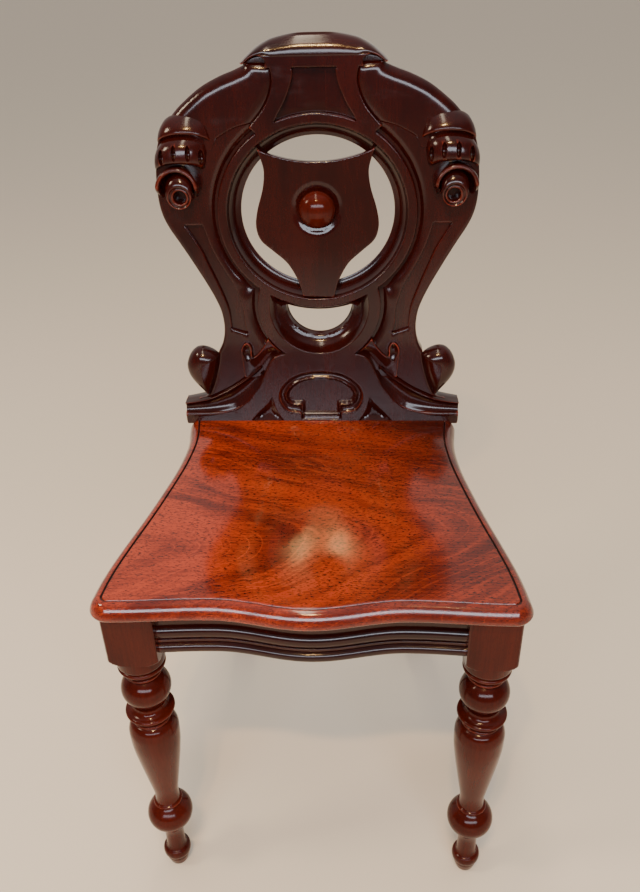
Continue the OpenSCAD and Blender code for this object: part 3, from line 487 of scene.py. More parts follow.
def grain_group():
    """Grain of mahogany that runs along Z: broad figure, fibres and short dark pores."""
    tree, w, given, results = new_group(
        "Mahogany grain",
        [("Vector", "Vector", None), ("Light", "Color", (0.2, 0.04, 0.02, 1)),
         ("Dark", "Color", (0.05, 0.01, 0.006, 1)), ("Figure", "Float", 0.6), ("Sweep", "Float", 0.0),
         ("Pores", "Float", 0.5)],
        [("Color", "Color"), ("Height", "Float")])
    v = given["Vector"]
    parts = w.node("ShaderNodeSeparateXYZ", {0: v}).outputs
    sway = w.noise(w.stretch(v, (7, 7, 4)), detail=2)
    wander = w.mul(sway, w.add(0.05, w.mul(given["Sweep"], 0.02)))
    side = w.add(parts["Y"], w.mul(parts["Z"], 0.12))
    ring = w.math("SQRT", w.add(w.mul(side, side), 0.0009))
    ring = w.sub(ring, w.mul(parts["Z"], 0.42))
    flame = w.mul(w.sub(ring, parts["Y"]), given["Sweep"])
    shift = w.node("ShaderNodeCombineXYZ", {0: wander, 1: w.add(wander, flame)}).outputs[0]
    swayed = w.node("ShaderNodeVectorMath", {0: v, 1: shift}, operation="ADD").outputs[0]
    bands = w.noise(w.stretch(swayed, (46, 46, 2.6)), detail=4, roughness=0.6)
    broad = w.noise(w.stretch(swayed, (13, 13, 3.0)), detail=2)
    fibres = w.noise(w.stretch(v, (420, 420, 13)), detail=4, roughness=0.7)
    clouds = w.noise(v, scale=11, detail=3)
    pores = w.noise(w.stretch(v, (1000, 1000, 260)), detail=2, roughness=0.6)
    pores = w.between(w.add(pores, w.mul(clouds, 0.16)), 0.59, 0.72)
    lines = w.noise(w.stretch(swayed, (30, 75, 1.5)), detail=1)
    lines = w.between(w.math("ABSOLUTE", w.sub(lines, 0.5)), 0.0, 0.03, 1.0, 0.0)
    tone = w.add(w.mul(bands, 0.5), w.mul(broad, 0.45))
    tone = w.add(tone, w.mul(w.sub(fibres, 0.5), 0.38))
    tone = w.add(tone, w.mul(w.sub(clouds, 0.5), 0.35))
    tone = w.add(tone, w.mul(w.mul(lines, given["Sweep"]), 0.10))
    tone = w.mul(w.sub(tone, 0.475), given["Figure"])
    tone = w.between(w.add(tone, 0.5), 0.18, 0.82)
    color = w.mix(tone, given["Dark"], given["Light"])
    specks = w.mul(pores, given["Pores"], clamp=True)
    color = w.mix(specks, color, PORE)
    height = w.sub(w.mul(fibres, 0.35), w.mul(specks, 0.8))
    w.fill(results, {"Color": color, "Height": height})
    return tree


def wear_group():
    """Rubbed edges that also carry a painted highlight, painted shade with some grime in the hollows, scuffs and
    small dents of an old polished surface.
    """
    tree, w, given, results = new_group(
        "Polish and wear",
        [("Vector", "Vector", None), ("Color", "Color", (0.2, 0.04, 0.02, 1)),
         ("Worn and highlit", "Color", (0.4, 0.06, 0.02, 1)), ("Wear", "Float", 0.7), ("Arris", "Float", 0.0),
         ("Hollow", "Float", 0.0), ("Border", "Float", 0.0), ("Dents", "Float", 0.5), ("Roughness", "Float", 0.3)],
        [("Color", "Color"), ("Roughness", "Float"), ("Height", "Float")])
    v = given["Vector"]
    patches = w.noise(v, scale=34, detail=4, roughness=0.65)
    fine = w.noise(v, scale=210, detail=3)
    # Rubbed edges, lightened also as a painted highlight along the arrises.
    rub_and_highlight = w.mul(given["Arris"], w.between(w.add(patches, w.mul(fine, 0.25)), 0.38, 0.78))
    rub_and_highlight = w.mul(rub_and_highlight, given["Wear"], clamp=True)
    color = w.mix(rub_and_highlight, given["Color"], given["Worn and highlit"])
    # Painted shade: hollows are darkened toward near-black, with some grime, and made a little rougher.
    hollow_shade = w.mul(given["Hollow"], 0.88, clamp=True)
    color = w.mix(hollow_shade, color, GRIME_AND_SHADE)
    mottle = w.between(w.add(w.noise(v, scale=420, detail=3, roughness=0.7), w.mul(patches, 0.4)), 0.60, 0.86)
    rim = w.mul(given["Border"], w.sub(0.72, w.mul(mottle, 0.72)), clamp=True)
    color = w.mix(rim, color, RUBBED_RIM)
    dents = w.node("ShaderNodeTexVoronoi", {"Vector": v, "Scale": 95.0, "Randomness": 1.0}).outputs["Distance"]
    dents = w.between(dents, 0.03, 0.16, 1.0, 0.0)
    few = w.between(w.noise(v, scale=23, detail=2), 0.50, 0.68)
    dents = w.mul(w.mul(dents, few), given["Dents"])
    color = w.mix(w.mul(dents, 0.55, clamp=True), color, DENT)
    scuffs = w.between(w.noise(w.stretch(v, (22, 60, 60)), detail=5, roughness=0.7), 0.50, 0.80)
    rough = w.add(given["Roughness"], w.mul(scuffs, 0.12))
    rough = w.add(rough, w.mul(hollow_shade, 0.2))
    ripple = w.noise(v, scale=17, detail=1)
    height = w.sub(w.mul(ripple, 0.6), dents)
    w.fill(results, {"Color": color, "Roughness": rough, "Height": height})
    return tree


def new_material(name, shade):
    """A material without nodes yet but its output, with its wiring and its Object coordinates."""
    m = bpy.data.materials.new(name)
    m.use_nodes = True
    m.diffuse_color = (*shade, 1)
    w = Wiring(m.node_tree)
    m.node_tree.nodes.clear()
    return w, w.node("ShaderNodeOutputMaterial").inputs["Surface"], w.node("ShaderNodeTexCoord").outputs["Object"]


def finish_material(
        name, light, dark, turn=(0, 0, 0), offset=(0, 0, 0), figure=1.0, sweep=0.0, pores=0.4, dents=0.4,
        worn_and_highlit=None, wear=0.7, roughness=0.155, gloss=0.3, coat=0.12, bump=0.2):
    """A polished wood whose grain runs along Z before it is turned."""
    w, surface, where = new_material(name, (0.27, 0.08, 0.05))
    turned_to = w.node("ShaderNodeMapping", {"Vector": where, "Location": offset, "Rotation": turn}).outputs[0]
    grain = w.node("ShaderNodeGroup", node_tree=bpy.data.node_groups["Mahogany grain"])
    w.fill(grain.inputs, {
        "Vector": turned_to, "Light": (*light, 1), "Dark": (*dark, 1), "Figure": figure, "Sweep": sweep,
        "Pores": pores})
    polish = w.node("ShaderNodeGroup", node_tree=bpy.data.node_groups["Polish and wear"])
    # Hollow takes both the painted shade of creases and the painted shade marked on the seat and in the slots.
    w.fill(polish.inputs, {
        "Vector": where, "Color": grain.outputs["Color"], "Worn and highlit": (*(worn_and_highlit or light), 1), "Wear": wear,
        "Arris": w.attribute("arris"), "Hollow": w.math("MAXIMUM", w.attribute("hollow"), w.attribute("soil")),
        "Border": w.attribute("border"), "Dents": dents, "Roughness": roughness})
    height = w.add(w.mul(grain.outputs["Height"], 0.25), polish.outputs["Height"])
    bumped = w.node("ShaderNodeBump", {"Strength": bump, "Distance": 0.0006, "Height": height}).outputs[0]
    w.put(surface, w.node("ShaderNodeBsdfPrincipled", {
        "Base Color": polish.outputs["Color"], "Roughness": polish.outputs["Roughness"], "Normal": bumped,
        "Coat Weight": coat, "Coat Roughness": 0.085, "Coat IOR": 1.5, "Specular IOR Level": gloss,
        "IOR": 1.5}).outputs[0])


def steel_material():
    """Blued steel of old screws, with brown spots."""
    w, surface, where = new_material(STEEL, (0.3, 0.3, 0.32))
    spots = w.between(w.noise(where, scale=900, detail=4), 0.45, 0.62)
    hue = w.mix(spots, (0.27, 0.26, 0.25), (0.075, 0.032, 0.016))
    rough = w.between(w.noise(where, scale=1600, detail=3), 0.3, 0.7, 0.32, 0.6)
    metal = w.sub(1.0, w.mul(spots, 0.6))
    bumped = w.node("ShaderNodeBump", {"Strength": 0.4, "Distance": 0.0002, "Height": spots}).outputs[0]
    look = {"Base Color": hue, "Roughness": rough, "Metallic": metal, "Normal": bumped}
    w.put(surface, w.node("ShaderNodeBsdfPrincipled", look).outputs[0])


# ---------------------------------------------------------------- measured lines, right half

CREST_TOP = [(0, 431), (20, 430.5), (40, 427), (50, 423.5), (60, 418), (70, 410), (74, 406), (75.4, 404.4)]
CREST_UNDER = [(75.4, 404.4), (73.5, 402.6), (70, 405.5), (64, 409.2), (57, 410.8), (50, 411)]
SIDE = [(73, 401.5), (85, 396.5), (100, 391), (120, 381), (140, 366), (150, 356.5), (160, 344.5), (167, 332),
        (171.5, 317), (174.3, 295), (174.8, 278), (173.8, 262), (170.5, 248), (164.5, 235), (156, 221), (146, 204),
        (137, 188), (128, 171.5), (120, 155), (114.5, 140), (112.3, 125), (112.8, 112), (116, 99), (121, 89.5)]
EAR_SEAT = [(121, 89.5), (123, 76), (126.5, 62), (131, 48), (136.5, 35)]
FOOT_END = [(136.5, 35), (141, 30.4), (150, 27.8), (160, 25.6), (165.4, 24.4), (166.8, 22.6), (166.8, 2),
            (165.5, -4.5), (162, -7.8)]
STRAP_OUT = [(58, 411.2), (52, 408), (46.5, 401), (44.3, 394), (44, 385), (46.5, 375), (50.5, 366), (56, 357.5),
             (62, 350.5), (70, 342)]
STRAP_IN = [(44, 344.5), (40, 353), (36.5, 358.5), (32, 366), (27, 377), (23.5, 387), (22, 396), (23, 399)]
APRON = [(34, 92), (41, 88), (50, 86), (57, 81), (62, 73), (68, 60), (74, 47), (80, 39), (88, 28.5), (98, 20),
         (105, 15.5), (120, 12), (140, 9.5), (166.8, 8)]
BROW = [(61, 106), (65, 99), (70, 92), (75, 86.5), (80, 83)]
RIDGE = [(70, 72), (74, 68.5), (80, 62.5), (90, 54.5), (100, 47.5), (110, 41), (120, 36), (130, 31.5), (140, 28),
         (150, 26), (160, 24.5), (166.8, 23.6)]
SHOULDER = [(86, 62.4), (92, 57.9), (100, 51.9), (110, 45.4), (120, 40.2), (130, 35.2), (140, 30.6), (150, 27.6),
            (160, 25.4), (166.8, 24.2)]
WING_LOW = [(69, 345.2), (76, 344), (84, 341.8), (92, 338.3), (100, 334), (106, 330.5)]
SUNK = [(148, 240), (139.5, 226), (130.5, 210), (124.5, 195), (118.2, 180), (110.5, 160), (104.8, 141), (103, 119),
        (85, 113), (87.5, 125), (88.3, 140), (91.5, 155), (98, 172), (106, 187), (113.5, 201), (120.5, 217),
        (127.5, 240)]
SHIELD = [(17.7, 0), (20.4, 11.4), (24.5, 22.8), (34.7, 40), (49, 53), (63.2, 66), (67.8, 81.5), (65.3, 99.4),
          (58.5, 122), (56.4, 140), (59.2, 153), (62.6, 163)]
SHIELD_TOP = [(62.6, 163), (57, 160.5), (47.6, 156.9), (30.6, 152.5), (14, 150), (0, 149.4)]
LEAF = [(59.4, 31), (63.5, 23.5), (70, 17), (77, 10), (86, -1), (46, -1), (52, 8), (55.8, 16), (57.6, 24)]
EAR = [(120.4, 84), (122.6, 88), (127.6, 92), (134, 95), (141, 96.3), (148, 94.6), (154.8, 88), (159.2, 78.4),
       (160.3, 71), (158.9, 63), (155, 55), (149.4, 47.5), (144, 41.4), (139.6, 36), (136.6, 34.4), (134, 39),
       (129.6, 49), (125.6, 60), (122.4, 72)]
RING_MIDDLE = (0, 250.5)
RING_IN = (99.5, 95)
BAND = 10
HOOP_MIDDLE = (0, 146)
HOOP_IN, HOOP_OUT, HOOP_REAR = 57, 71, 41
# moulded foot: share of the way from its ridge to the apron, and depth
FOOT_CROSS = [(0.02, 0.0), (0.05, 1.2), (0.12, 3.2), (0.22, 4.7), (0.34, 5.6), (0.46, 5.9), (0.58, 5.7), (0.7, 5.0),
              (0.8, 4.0), (0.9, 2.7), (1.0, 1.6)]
# bead along the moulded foot: across, height, depth and radius
FOOT_BEAD = [(92, 23.6, 0.9, 0.4), (100, 18.4, 0.9, 0.6), (108, 14.6, 0.9, 0.9), (116, 12.2, 0.9, 1.3),
             (124, 10.8, 0.8, 2.0), (132, 9.9, 0.8, 2.8), (142, 9.4, 0.8, 3.2), (154, 9.2, 0.8, 3.3),
             (166.4, 9.2, 0.8, 3.3)]
CURL = [(80, 83), (81.5, 88), (80.8, 93), (82.2, 98), (85.6, 101.3), (89.5, 100), (92.6, 95.5), (93.9, 90),
        (93.4, 84), (92.6, 76), (92, 68), (91.2, 58)]
EYE = [(87.4, 99.3), (84.3, 97), (82.9, 91.5), (82.8, 86), (83.9, 80.6), (86.9, 77.6), (88.9, 80.6), (91.2, 87.6),
       (91.1, 94.6)]
CHANNEL = [(0, 64.8), (12, 64.2), (24, 61.5), (35, 56), (44, 48), (49.6, 39), (50.6, 31), (48.5, 23.5),
           (44.5, 16.8), (39.5, 12.4), (33, 11)]
PANEL = [(0, 57), (12, 56.3), (23, 53.6), (32.5, 48.3), (39.5, 41), (42.6, 33.5), (41.5, 27.5), (37.5, 23),
         (32, 21.3)]
# scrolls: middle across, half width, height of the sides, height of the top, depth of the top
HOODS = [
    (139, 24.0, 344, 356.5, 8.5), (139, 25.5, 341, 355.4, 4.5), (139.5, 27.0, 337.5, 352, 0.0),
    (140, 28.0, 333.5, 347.5, -3.6), (140, 28.7, 330, 343, -6.2), (140, 29.0, 328, 340, -7.3),
    (140, 28.9, 327.2, 338.6, -7.5), (140, 28.3, 326.8, 337.5, -6.9), (140, 27.2, 326.6, 336.8, -5.2),
    (141, 26.0, 326, 336.2, -1.5), (142, 26.2, 321, 334.6, -2.6), (143, 27.2, 318, 332.6, -5.2),
    (144, 28.0, 315, 329.6, -8.2), (145, 28.2, 311.5, 325.8, -10.6), (145.7, 28.2, 308, 321.0, -12.2),
    (146.2, 28.0, 304.5, 315.6, -13.0), (146.6, 27.4, 301.5, 311.4, -13.2), (147, 26.9, 300, 309.4, -12.8),
    (147.2, 26.2, 299, 308.4, -11.4), (147.5, 24.8, 298.4, 307.6, -8.6), (147.6, 23.4, 298, 306.8, -3),
    (147.6, 22.4, 297.6, 306.2, 6)]
# flared rim of a scroll: radius and depth
RIM = [(24.4, 12), (24.3, 5), (24.1, -3), (23.9, -10), (23.7, -13.0), (23.2, -14.8), (22.3, -16.0), (21.2, -16.4),
       (20.1, -16.0), (19.2, -14.8), (18.5, -12.4), (17.9, -8.5), (17.0, -4), (15.6, 0), (13, 2), (10, 2.4),
       (10, 12)]
# tube of a scroll: across, height, depth and radius
TUBE = [(149, 284.5, 9, 14.2), (149, 284, 4, 14.2), (149, 283.4, -2, 14.1), (148.9, 282.4, -6, 14.0),
        (148.8, 280.6, -9.6, 13.8), (148.7, 277.8, -12.2, 13.4), (148.6, 275.2, -13.6, 12.9),
        (148.5, 274.2, -14.2, 12.2), (148.4, 273.7, -14.5, 11.4), (148.4, 273.5, -14.2, 10.7),
        (148.3, 273.4, -13.2, 10.1), (148.2, 273.4, -12.9, 9.5), (148.1, 273.4, -13.3, 8.8),
        (148, 273.4, -13.6, 8.0), (147.9, 273.5, -13.3, 7.2), (147.8, 273.6, -12.4, 6.5), (147.8, 273.8, -9, 6.1),
        (147.8, 274.2, -3, 5.9), (147.8, 275, 4, 5.6)]
# slots of a scroll: across, height and depth
SLOTS = [(121.8, 313.5, -5.8), (134.6, 318.6, -11.6), (149.6, 319.0, -12.2), (164.0, 314.0, -7.4)]
SHIELD_FOOT, BOSS_MIDDLE = 157, 256.4


def outline_of_back():
    """Whole outline of the board, without the ears, down to its tongue."""
    half = [(58, 411), (66, 409), (71, 406.5), (73, 403.8), *smooth(SIDE), *smooth(EAR_SEAT)[1:]]
    half += [*smooth(FOOT_END, 3)[1:], (112.8, -7.8), (112.8, -75.8)]
    return spaced(half + mirrored(half), 1.4)


def ring_oval(grow=0.0):
    return oval(RING_IN[0] + grow, RING_IN[1] + grow, RING_MIDDLE, 260)


def hoop_circle(r):
    return oval(r, r, HOOP_MIDDLE, 200)


def apron_outline():
    half = [*smooth(APRON), (166.8, -4)]
    return spaced([(0, 92)] + half + mirrored(half), 1.4)


def strap_outline():
    return spaced([*smooth(STRAP_OUT), (62, 335), *smooth(STRAP_IN), (23, 411.2)], 1.4)


def cartouche_outline():
    """Outer line of the gouged channel, which ends at a step on each side of the middle."""
    half = [*smooth(CHANNEL), (24.5, 10.8), (24, 2.4)]
    return spaced(half + mirrored(half[1:]), 1.0)


def leaf_outline():
    return spaced([*smooth(LEAF[:5], 4), *smooth(LEAF[5:] + LEAF[:1], 4)[:-1]], 1.0)


def anticlockwise(line):
    x, y = line.T
    return line[::-1] if (x * np.roll(y, -1) - y * np.roll(x, -1)).sum() < 0 else line


def band_loops():
    """Outlines of all that stands at the level of the bands."""
    strap = strap_outline()
    fascia = spaced([(-50, 399), (50, 399), (50, 411.2), (-50, 411.2)], 1.4)
    hole, gap, cartouche = ring_oval(), hoop_circle(HOOP_IN), cartouche_outline()
    leaf, side = leaf_outline(), outline_of_back()
    leaves = [leaf, np.array(mirrored(leaf))]
    solids = [ring_oval(BAND), hoop_circle(HOOP_OUT), apron_outline(), strap, np.array(mirrored(strap)), fascia]

    def keep(q):
        solid = np.any([within([a], q) for a in solids], axis=0) & (within([side], q) | (q[:, 1] > 400))
        return solid & among(q, [], [hole, cartouche, *leaves]) & ~among(q, [gap], solids[:1])

    return region([*solids, hole, gap, cartouche, *leaves, side], keep)


# ---------------------------------------------------------------- operators


class HallOperator:
    bl_options = {"REGISTER", "UNDO"}


class HALL_OT_finishes(HallOperator, bpy.types.Operator):
    """Makes the polished woods and the steel, and puts them on the plain pieces"""

    bl_idname = "hall.finishes"
    bl_label = "Finishes"

    def execute(self, context):
        f = context.scene.hall_finish
        grain_group()
        wear_group()
        polished = dict(light=f.back_light, dark=f.back_dark, worn_and_highlit=f.worn_and_highlit, wear=f.wear, pores=0.25)
        bare = dict(worn_and_highlit=(0.4, 0.25, 0.13), pores=0.3, roughness=0.6, coat=0.0)
        finish_material(CARVED, **polished)
        finish_material(LEVEL, turn=(0, math.pi / 2, 0), offset=(0.3, 0.1, 0.2), **polished)
        finish_material(GLASSY, roughness=0.08, bump=0.03, offset=(0.1, 0.6, 0.4), **polished)
        finish_material(TURNED, **{
            **polished, "light": (0.088, 0.0088, 0.0035), "dark": (0.03, 0.003, 0.0015), "offset": (0.7, 0.4, 0.1),
            "pores": 0.2, "roughness": 0.13, "coat": 0.08, "gloss": 0.14})
        finish_material(FIGURED, **{
            **polished, "light": f.seat_light, "dark": f.seat_dark, "turn": (0, math.pi / 2, math.radians(8)),
            "offset": (0.2, 0.035, 0.0), "figure": 2.1, "sweep": 1.0, "pores": 0.85, "dents": 1.0,
            "roughness": 0.09, "gloss": 0.42, "coat": 0.3, "bump": 0.16})
        finish_material(
            BLOCK, light=(0.36, 0.2, 0.1), dark=(0.17, 0.085, 0.04), dents=0.6, offset=(0.2, 0.9, 0.3), **bare)
        finish_material(
            DOWEL, light=(0.4, 0.25, 0.14), dark=(0.22, 0.12, 0.06), dents=0.3, offset=(0.5, 0.2, 0.6), **bare)
        steel_material()
        kinds = {"screws": STEEL, "corner_block": BLOCK, "dowels": DOWEL, "front_rail": LEVEL, "rear_rail": LEVEL,
                 "crest_rail": LEVEL, "seat_board": FIGURED}
        for name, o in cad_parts.items():
            finish = next((kind for part, kind in kinds.items() if part in name), CARVED)
            o.data.materials.clear()
            o.data.materials.append(bpy.data.materials[finish])
        return {"FINISHED"}


# Of the seat's outline: radius of its front corners, half the bow's width, and the hollow beside the bow
CORNER, BOW_HALF, KICK = 19.5, 93.0, 4.0
# Shares of the way from the front corner to the waist, and to the back
SIDE_SHARES = [(1, 0), (0.95, 0.07), (0.86, 0.15), (0.7, 0.256), (0.477, 0.394), (0.272, 0.5375), (0.09, 0.684),
               (0, 0.81), (0, 0.89), (0.05, 0.96), (0.155, 1.1)]
# Rounded edge of the seat: distance in from the outline, and height
NOSE = [(11.6, 0), (9.8, -0.2), (8.2, -0.75), (6.6, -1.8), (5.1, -3.3), (3.6, -5.2), (2.25, -7.4), (1.2, -9.7),
        (0.4, -11.9), (0, -13.6), (0.4, -15.2), (1.4, -16.8), (3.1, -18.2), (5.4, -19.1), (8.0, -19.4)]


def seat_front(x, s):
    """Depth of the seat's front edge, in millimetres, at each place across."""
    corner = s.width / MM / 2 - CORNER

    def wave(t):
        return (1 - np.cos(math.pi * np.clip(t, 0, 1))) / 2

    bow = s.bow / MM * wave(np.abs(x) / BOW_HALF)
    return s.front / MM + bow - KICK * wave((np.abs(x) - BOW_HALF) / (corner - BOW_HALF))


def seat_outline(s):
    """Closed outline of the seat, run on behind the back."""
    half_w, waist = s.width / MM / 2, s.waist / MM / 2
    corner = half_w - CORNER
    mid = seat_front(np.array([corner]), s)[0] + CORNER
    x = np.linspace(0, corner, 60)
    front = np.c_[x, seat_front(x, s)]
    a = np.radians(np.linspace(-80, -6, 12))
    bend = np.c_[corner + CORNER * np.cos(a), mid + CORNER * np.sin(a)]
    rear = bpy.context.scene.hall_back.foot / MM
    side = smooth([(waist + (half_w - waist) * p, mid + (rear - mid) * q) for p, q in SIDE_SHARES], 12)
    half = np.vstack([front, bend, side])
    return spaced(np.vstack([half, mirrored(half[1:])]), 1.6, corner=60)


def inset(line, d):
    """A closed line moved inward, for points that run anticlockwise."""
    a, b = line - np.roll(line, 1, 0), np.roll(line, -1, 0) - line
    n = sum(np.c_[-e[:, 1], e[:, 0]] / np.linalg.norm(e, axis=1)[:, None] for e in (a, b))
    return line + n * 2 * d / (n * n).sum(1)[:, None]


class HALL_OT_seat(HallOperator, bpy.types.Operator):
    """Makes the seat board, with its thumb moulding and sunk line"""

    bl_idname = "hall.seat"
    bl_label = "Seat"

    def execute(self, context):
        s, back = context.scene.hall_seat, context.scene.hall_back
        b, t, q = s.border / MM, s.thickness / MM, s.quirk / MM
        under = [(b + 3, -t), (b - 0.6, -t), (b - 1, -t + 0.4), (b - 1.2, -19.6)]
        sunk = [(-0.5, 0), (-0.1, -0.12), (0.1, -0.5), (0.35, -q), (0.8, -q - 0.15), (1.15, -q - 0.1), (1.25, -q),
                (1.32, 0.1 - q), (2.0, -0.13), (2.1, -0.04), (2.25, 0), (3, 0), (4, 0)]
        profile = [*under, *smooth(NOSE, 3)[::-1], *((b + d, z) for d, z in sunk)]
        line = seat_outline(s)
        rows = [np.c_[inset(line, d) * MM, np.full(len(line), s.top + z * MM)] for d, z in profile]
        points, faces = skin(rows, around=True, caps=False)
        n = len(line)
        for k, turn in ((0, -1), (len(profile) - 1, 1)):
            edge = inset(line, profile[k][0])
            v, tri = triangles([edge])
            order = kdtree.KDTree(n)
            for i, p in enumerate(edge):
                order.insert((*p, 0), i)
            order.balance()
            to = [order.find((*p, 0))[1] + k * n for p in v]
            for f in tri[within([edge], v[tri].mean(1))]:
                faces.append(tuple(to[i] for i in f[::turn]))

        def cut(mesh):
            """Cuts the board off at the back, and marks the rim where its polish is rubbed, painted shade in its sunk
            line and painted shade toward its rear right.
            """
            bm = bmesh.new()
            bm.from_mesh(mesh)
            bmesh.ops.bisect_plane(
                bm, geom=bm.verts[:] + bm.edges[:] + bm.faces[:], dist=1e-6, plane_co=(0, back.foot - 2e-5, s.top),
                plane_no=(0, math.cos(back.lean), -math.sin(back.lean)), clear_outer=True)
            bmesh.ops.holes_fill(bm, edges=[e for e in bm.edges if e.is_boundary], sides=0)
            settle(bm, mesh)
            x, y, z = np.array([v.co for v in mesh.vertices]).T / MM
            far = reach([line], np.c_[x, y])
            rim = ramp(far, b + 1.5, b - 5) * ramp(z - s.top / MM, 0.6, -1.0)
            store(mesh, "border", np.maximum(ramp(far, b + 2, b - 3) * 0.4, rim))
            # Painted shade in the sunk line inside the rounded band.
            line_shade = ramp(far, b - 0.5, b + 0.1) * ramp(far, b + 1.38, b + 1.2) * 1.2
            # Painted shade that deepens toward the seat's right and toward the back.
            store(mesh, "soil", np.maximum(line_shade, ramp(x, -50, 140) * (0.40 + 0.44 * ramp(y, -30, 80))))

        piece("Seatboard", (points, faces), ["seat_board"], FIGURED, sharp=50, extra=cut)
        return {"FINISHED"}


class HALL_OT_rails(HallOperator, bpy.types.Operator):
    """Makes the moulded front rail and the plain side and rear rails"""

    bl_idname = "hall.rails"
    bl_label = "Rails"

    def execute(self, context):
        s = context.scene.hall_seat
        half = (leg_low.x + leg_high.x - context.scene.hall_legs.block) / 2 / MM + 0.2
        x = np.linspace(-half, half, 140)
        face = seat_front(x, s) + 18
        back, z0, z1 = rail_high.y / MM, rail_low.z / MM, rail_high.z / MM

        def round_part(r, z, *turn):
            return [(r * (1 - math.cos(k)), z + r * math.sin(k)) for k in np.radians(np.linspace(*turn))]

        groove = [(7.2, 17.2), (4.0, 16.7), (3.7, 16.3), (3.7, 13.6), (4.0, 13.1), (5.4, 12.4)]
        profile = [(5.9, z1), (5.8, z0 + 36), *round_part(8.4, z0 + 26, 72, -80, 15)]
        profile += [(d, z0 + z) for d, z in groove] + round_part(6, z0 + 6, 76, -86, 13)
        rows = []
        for xi, yi in zip(x, face):
            row = [(xi, yi + d, z) for d, z in profile] + [(xi, back - 0.6, z0), (xi, back, z0 + 0.6), (xi, back, z1)]
            rows.append(np.array(row) * MM)
        piece("Front_rail", skin(rows, around=True), ["front_rail"], LEVEL, sharp=45)
        for node in ("left_side_rail", "right_side_rail", "rear_rail"):
            bevelled_copy(node, 0.0012)
        return {"FINISHED"}


def bevelled_copy(node, width):
    """A copy of a plain piece with its arrises eased."""
    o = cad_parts[node]
    bm = bmesh.new()
    bm.from_mesh(o.data)
    bmesh.ops.remove_doubles(bm, verts=bm.verts, dist=1e-6)
    bmesh.ops.dissolve_limit(bm, angle_limit=math.radians(1), verts=bm.verts, edges=bm.edges)
    edges = [e for e in bm.edges if e.is_manifold and e.calc_face_angle(0) > math.radians(35) and e.is_convex]
    bmesh.ops.bevel(bm, geom=edges, offset=width, segments=3, profile=0.5, affect="EDGES", clamp_overlap=True)
    mesh = bpy.data.meshes.new(node.capitalize())
    settle(bm, mesh)
    dress(node.capitalize(), mesh, [node], o.data.materials[0].name)


class HALL_OT_front_legs(HallOperator, bpy.types.Operator):
    """Turns the front legs, with a square block at the head of each"""

    bl_idname = "hall.front_legs"
    bl_label = "Front legs"

    def execute(self, context):
        s = context.scene.hall_legs
        ball, shaft, half, arris = s.ball / MM, s.shaft / MM, s.block / MM / 2, s.arris / MM

        def globe(z):
            return [(ball * math.sqrt(1 - k * k), z + 23 * k) for k in np.linspace(-0.86, 0.83, 20)]

        def bead(r, h, z, n=7, out=1.0):
            a = np.linspace(0, math.pi, n)
            return [(r + out * h / 2 * math.sin(k), z + h / 2 * (1 - math.cos(k))) for k in a]

        swell = smooth([(14.0, 121), (13.5, 128), (14.1, 138), (16.4, 153), (19.8, 175), (23.4, 199), (26.0, 221),
                        (shaft, 237), (26.2, 246), (23.6, 253.5), (20.4, 257)], 5)
        # radius and height, from the floor up
        turning = [
            (0, 0), (9.8, 0), (10.9, 0.7), (11.4, 2), (12, 5), (13.2, 9), (13.9, 12), (14, 14.3),
            *bead(13.4, 13.6, 15, 11, 0.42), (12.6, 29.2), (11.8, 31), (11.2, 35), (11.0, 41), (10.9, 48),
            (11.0, 56), (11.6, 62), (12.6, 67), (13.6, 70.2), (14.2, 71.6), (15.2, 72.3), *globe(94), (14.2, 113.6),
            (14.1, 114.6), *bead(14.4, 4, 115.2), (13.9, 119.8), *swell, (19.2, 257.4), (18.6, 258.2),
            *bead(18.6, 4.2, 258.8), (17.9, 263.6), (17.7, 265.4), (18.6, 267.4), (20.6, 269), (22.4, 270),
            *bead(23.4, 5.2, 270.6, 8), (21.6, 276.4), (19.4, 277.9), (17.6, 280), (16.8, 282.6), (16.9, 284.2),
            (17.6, 285), *globe(306), (16.4, 325.6), (16.2, 326.8), *bead(17.4, 3.6, 327.4), (16.6, 331.6),
            (16.2, 332.6), (16.4, 333.6), (17.4, 334.6), (19.4, 335.6), (21.2, 337.2), *bead(22.0, 5.2, 338.2, 9),
            (21.6, 343.9), (21.4, 344.5), (22.4, 345.1), (24.0, 345.6), (24.7, 346.5), (24.9, 348), (24.9, 358.8)]
        n = 96
        c, sn = circle(n, TAU / n / 2)
        square = np.minimum(half / np.maximum(np.abs(c), np.abs(sn)), half * math.sqrt(2) - arris)
        z0, top = leg_high.z / MM - 64, leg_high.z / MM
        for k in np.linspace(0, 1, 15):
            t = k * math.pi / 2
            r = np.minimum(square, half * 0.996 + half * (math.sqrt(2) - 0.996) * math.sin(t))
            turning.append((r, z0 + 11 * (1 - math.cos(t))))
        turning += [(square, z) for z in (z0 + 17, z0 + 40, top - 0.3, top - 0.05)]
        points, faces = skin([np.c_[r * c, r * sn, np.full(n, z)] for r, z in turning], around=True)
        for node in ("right_front_leg", "left_front_leg"):
            lo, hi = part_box(node)
            at = np.array([(lo.x + hi.x) / 2, (lo.y + hi.y) / 2, 0])
            piece(node.capitalize(), (points * MM + at, faces), [node], TURNED, sharp=42)
        return {"FINISHED"}


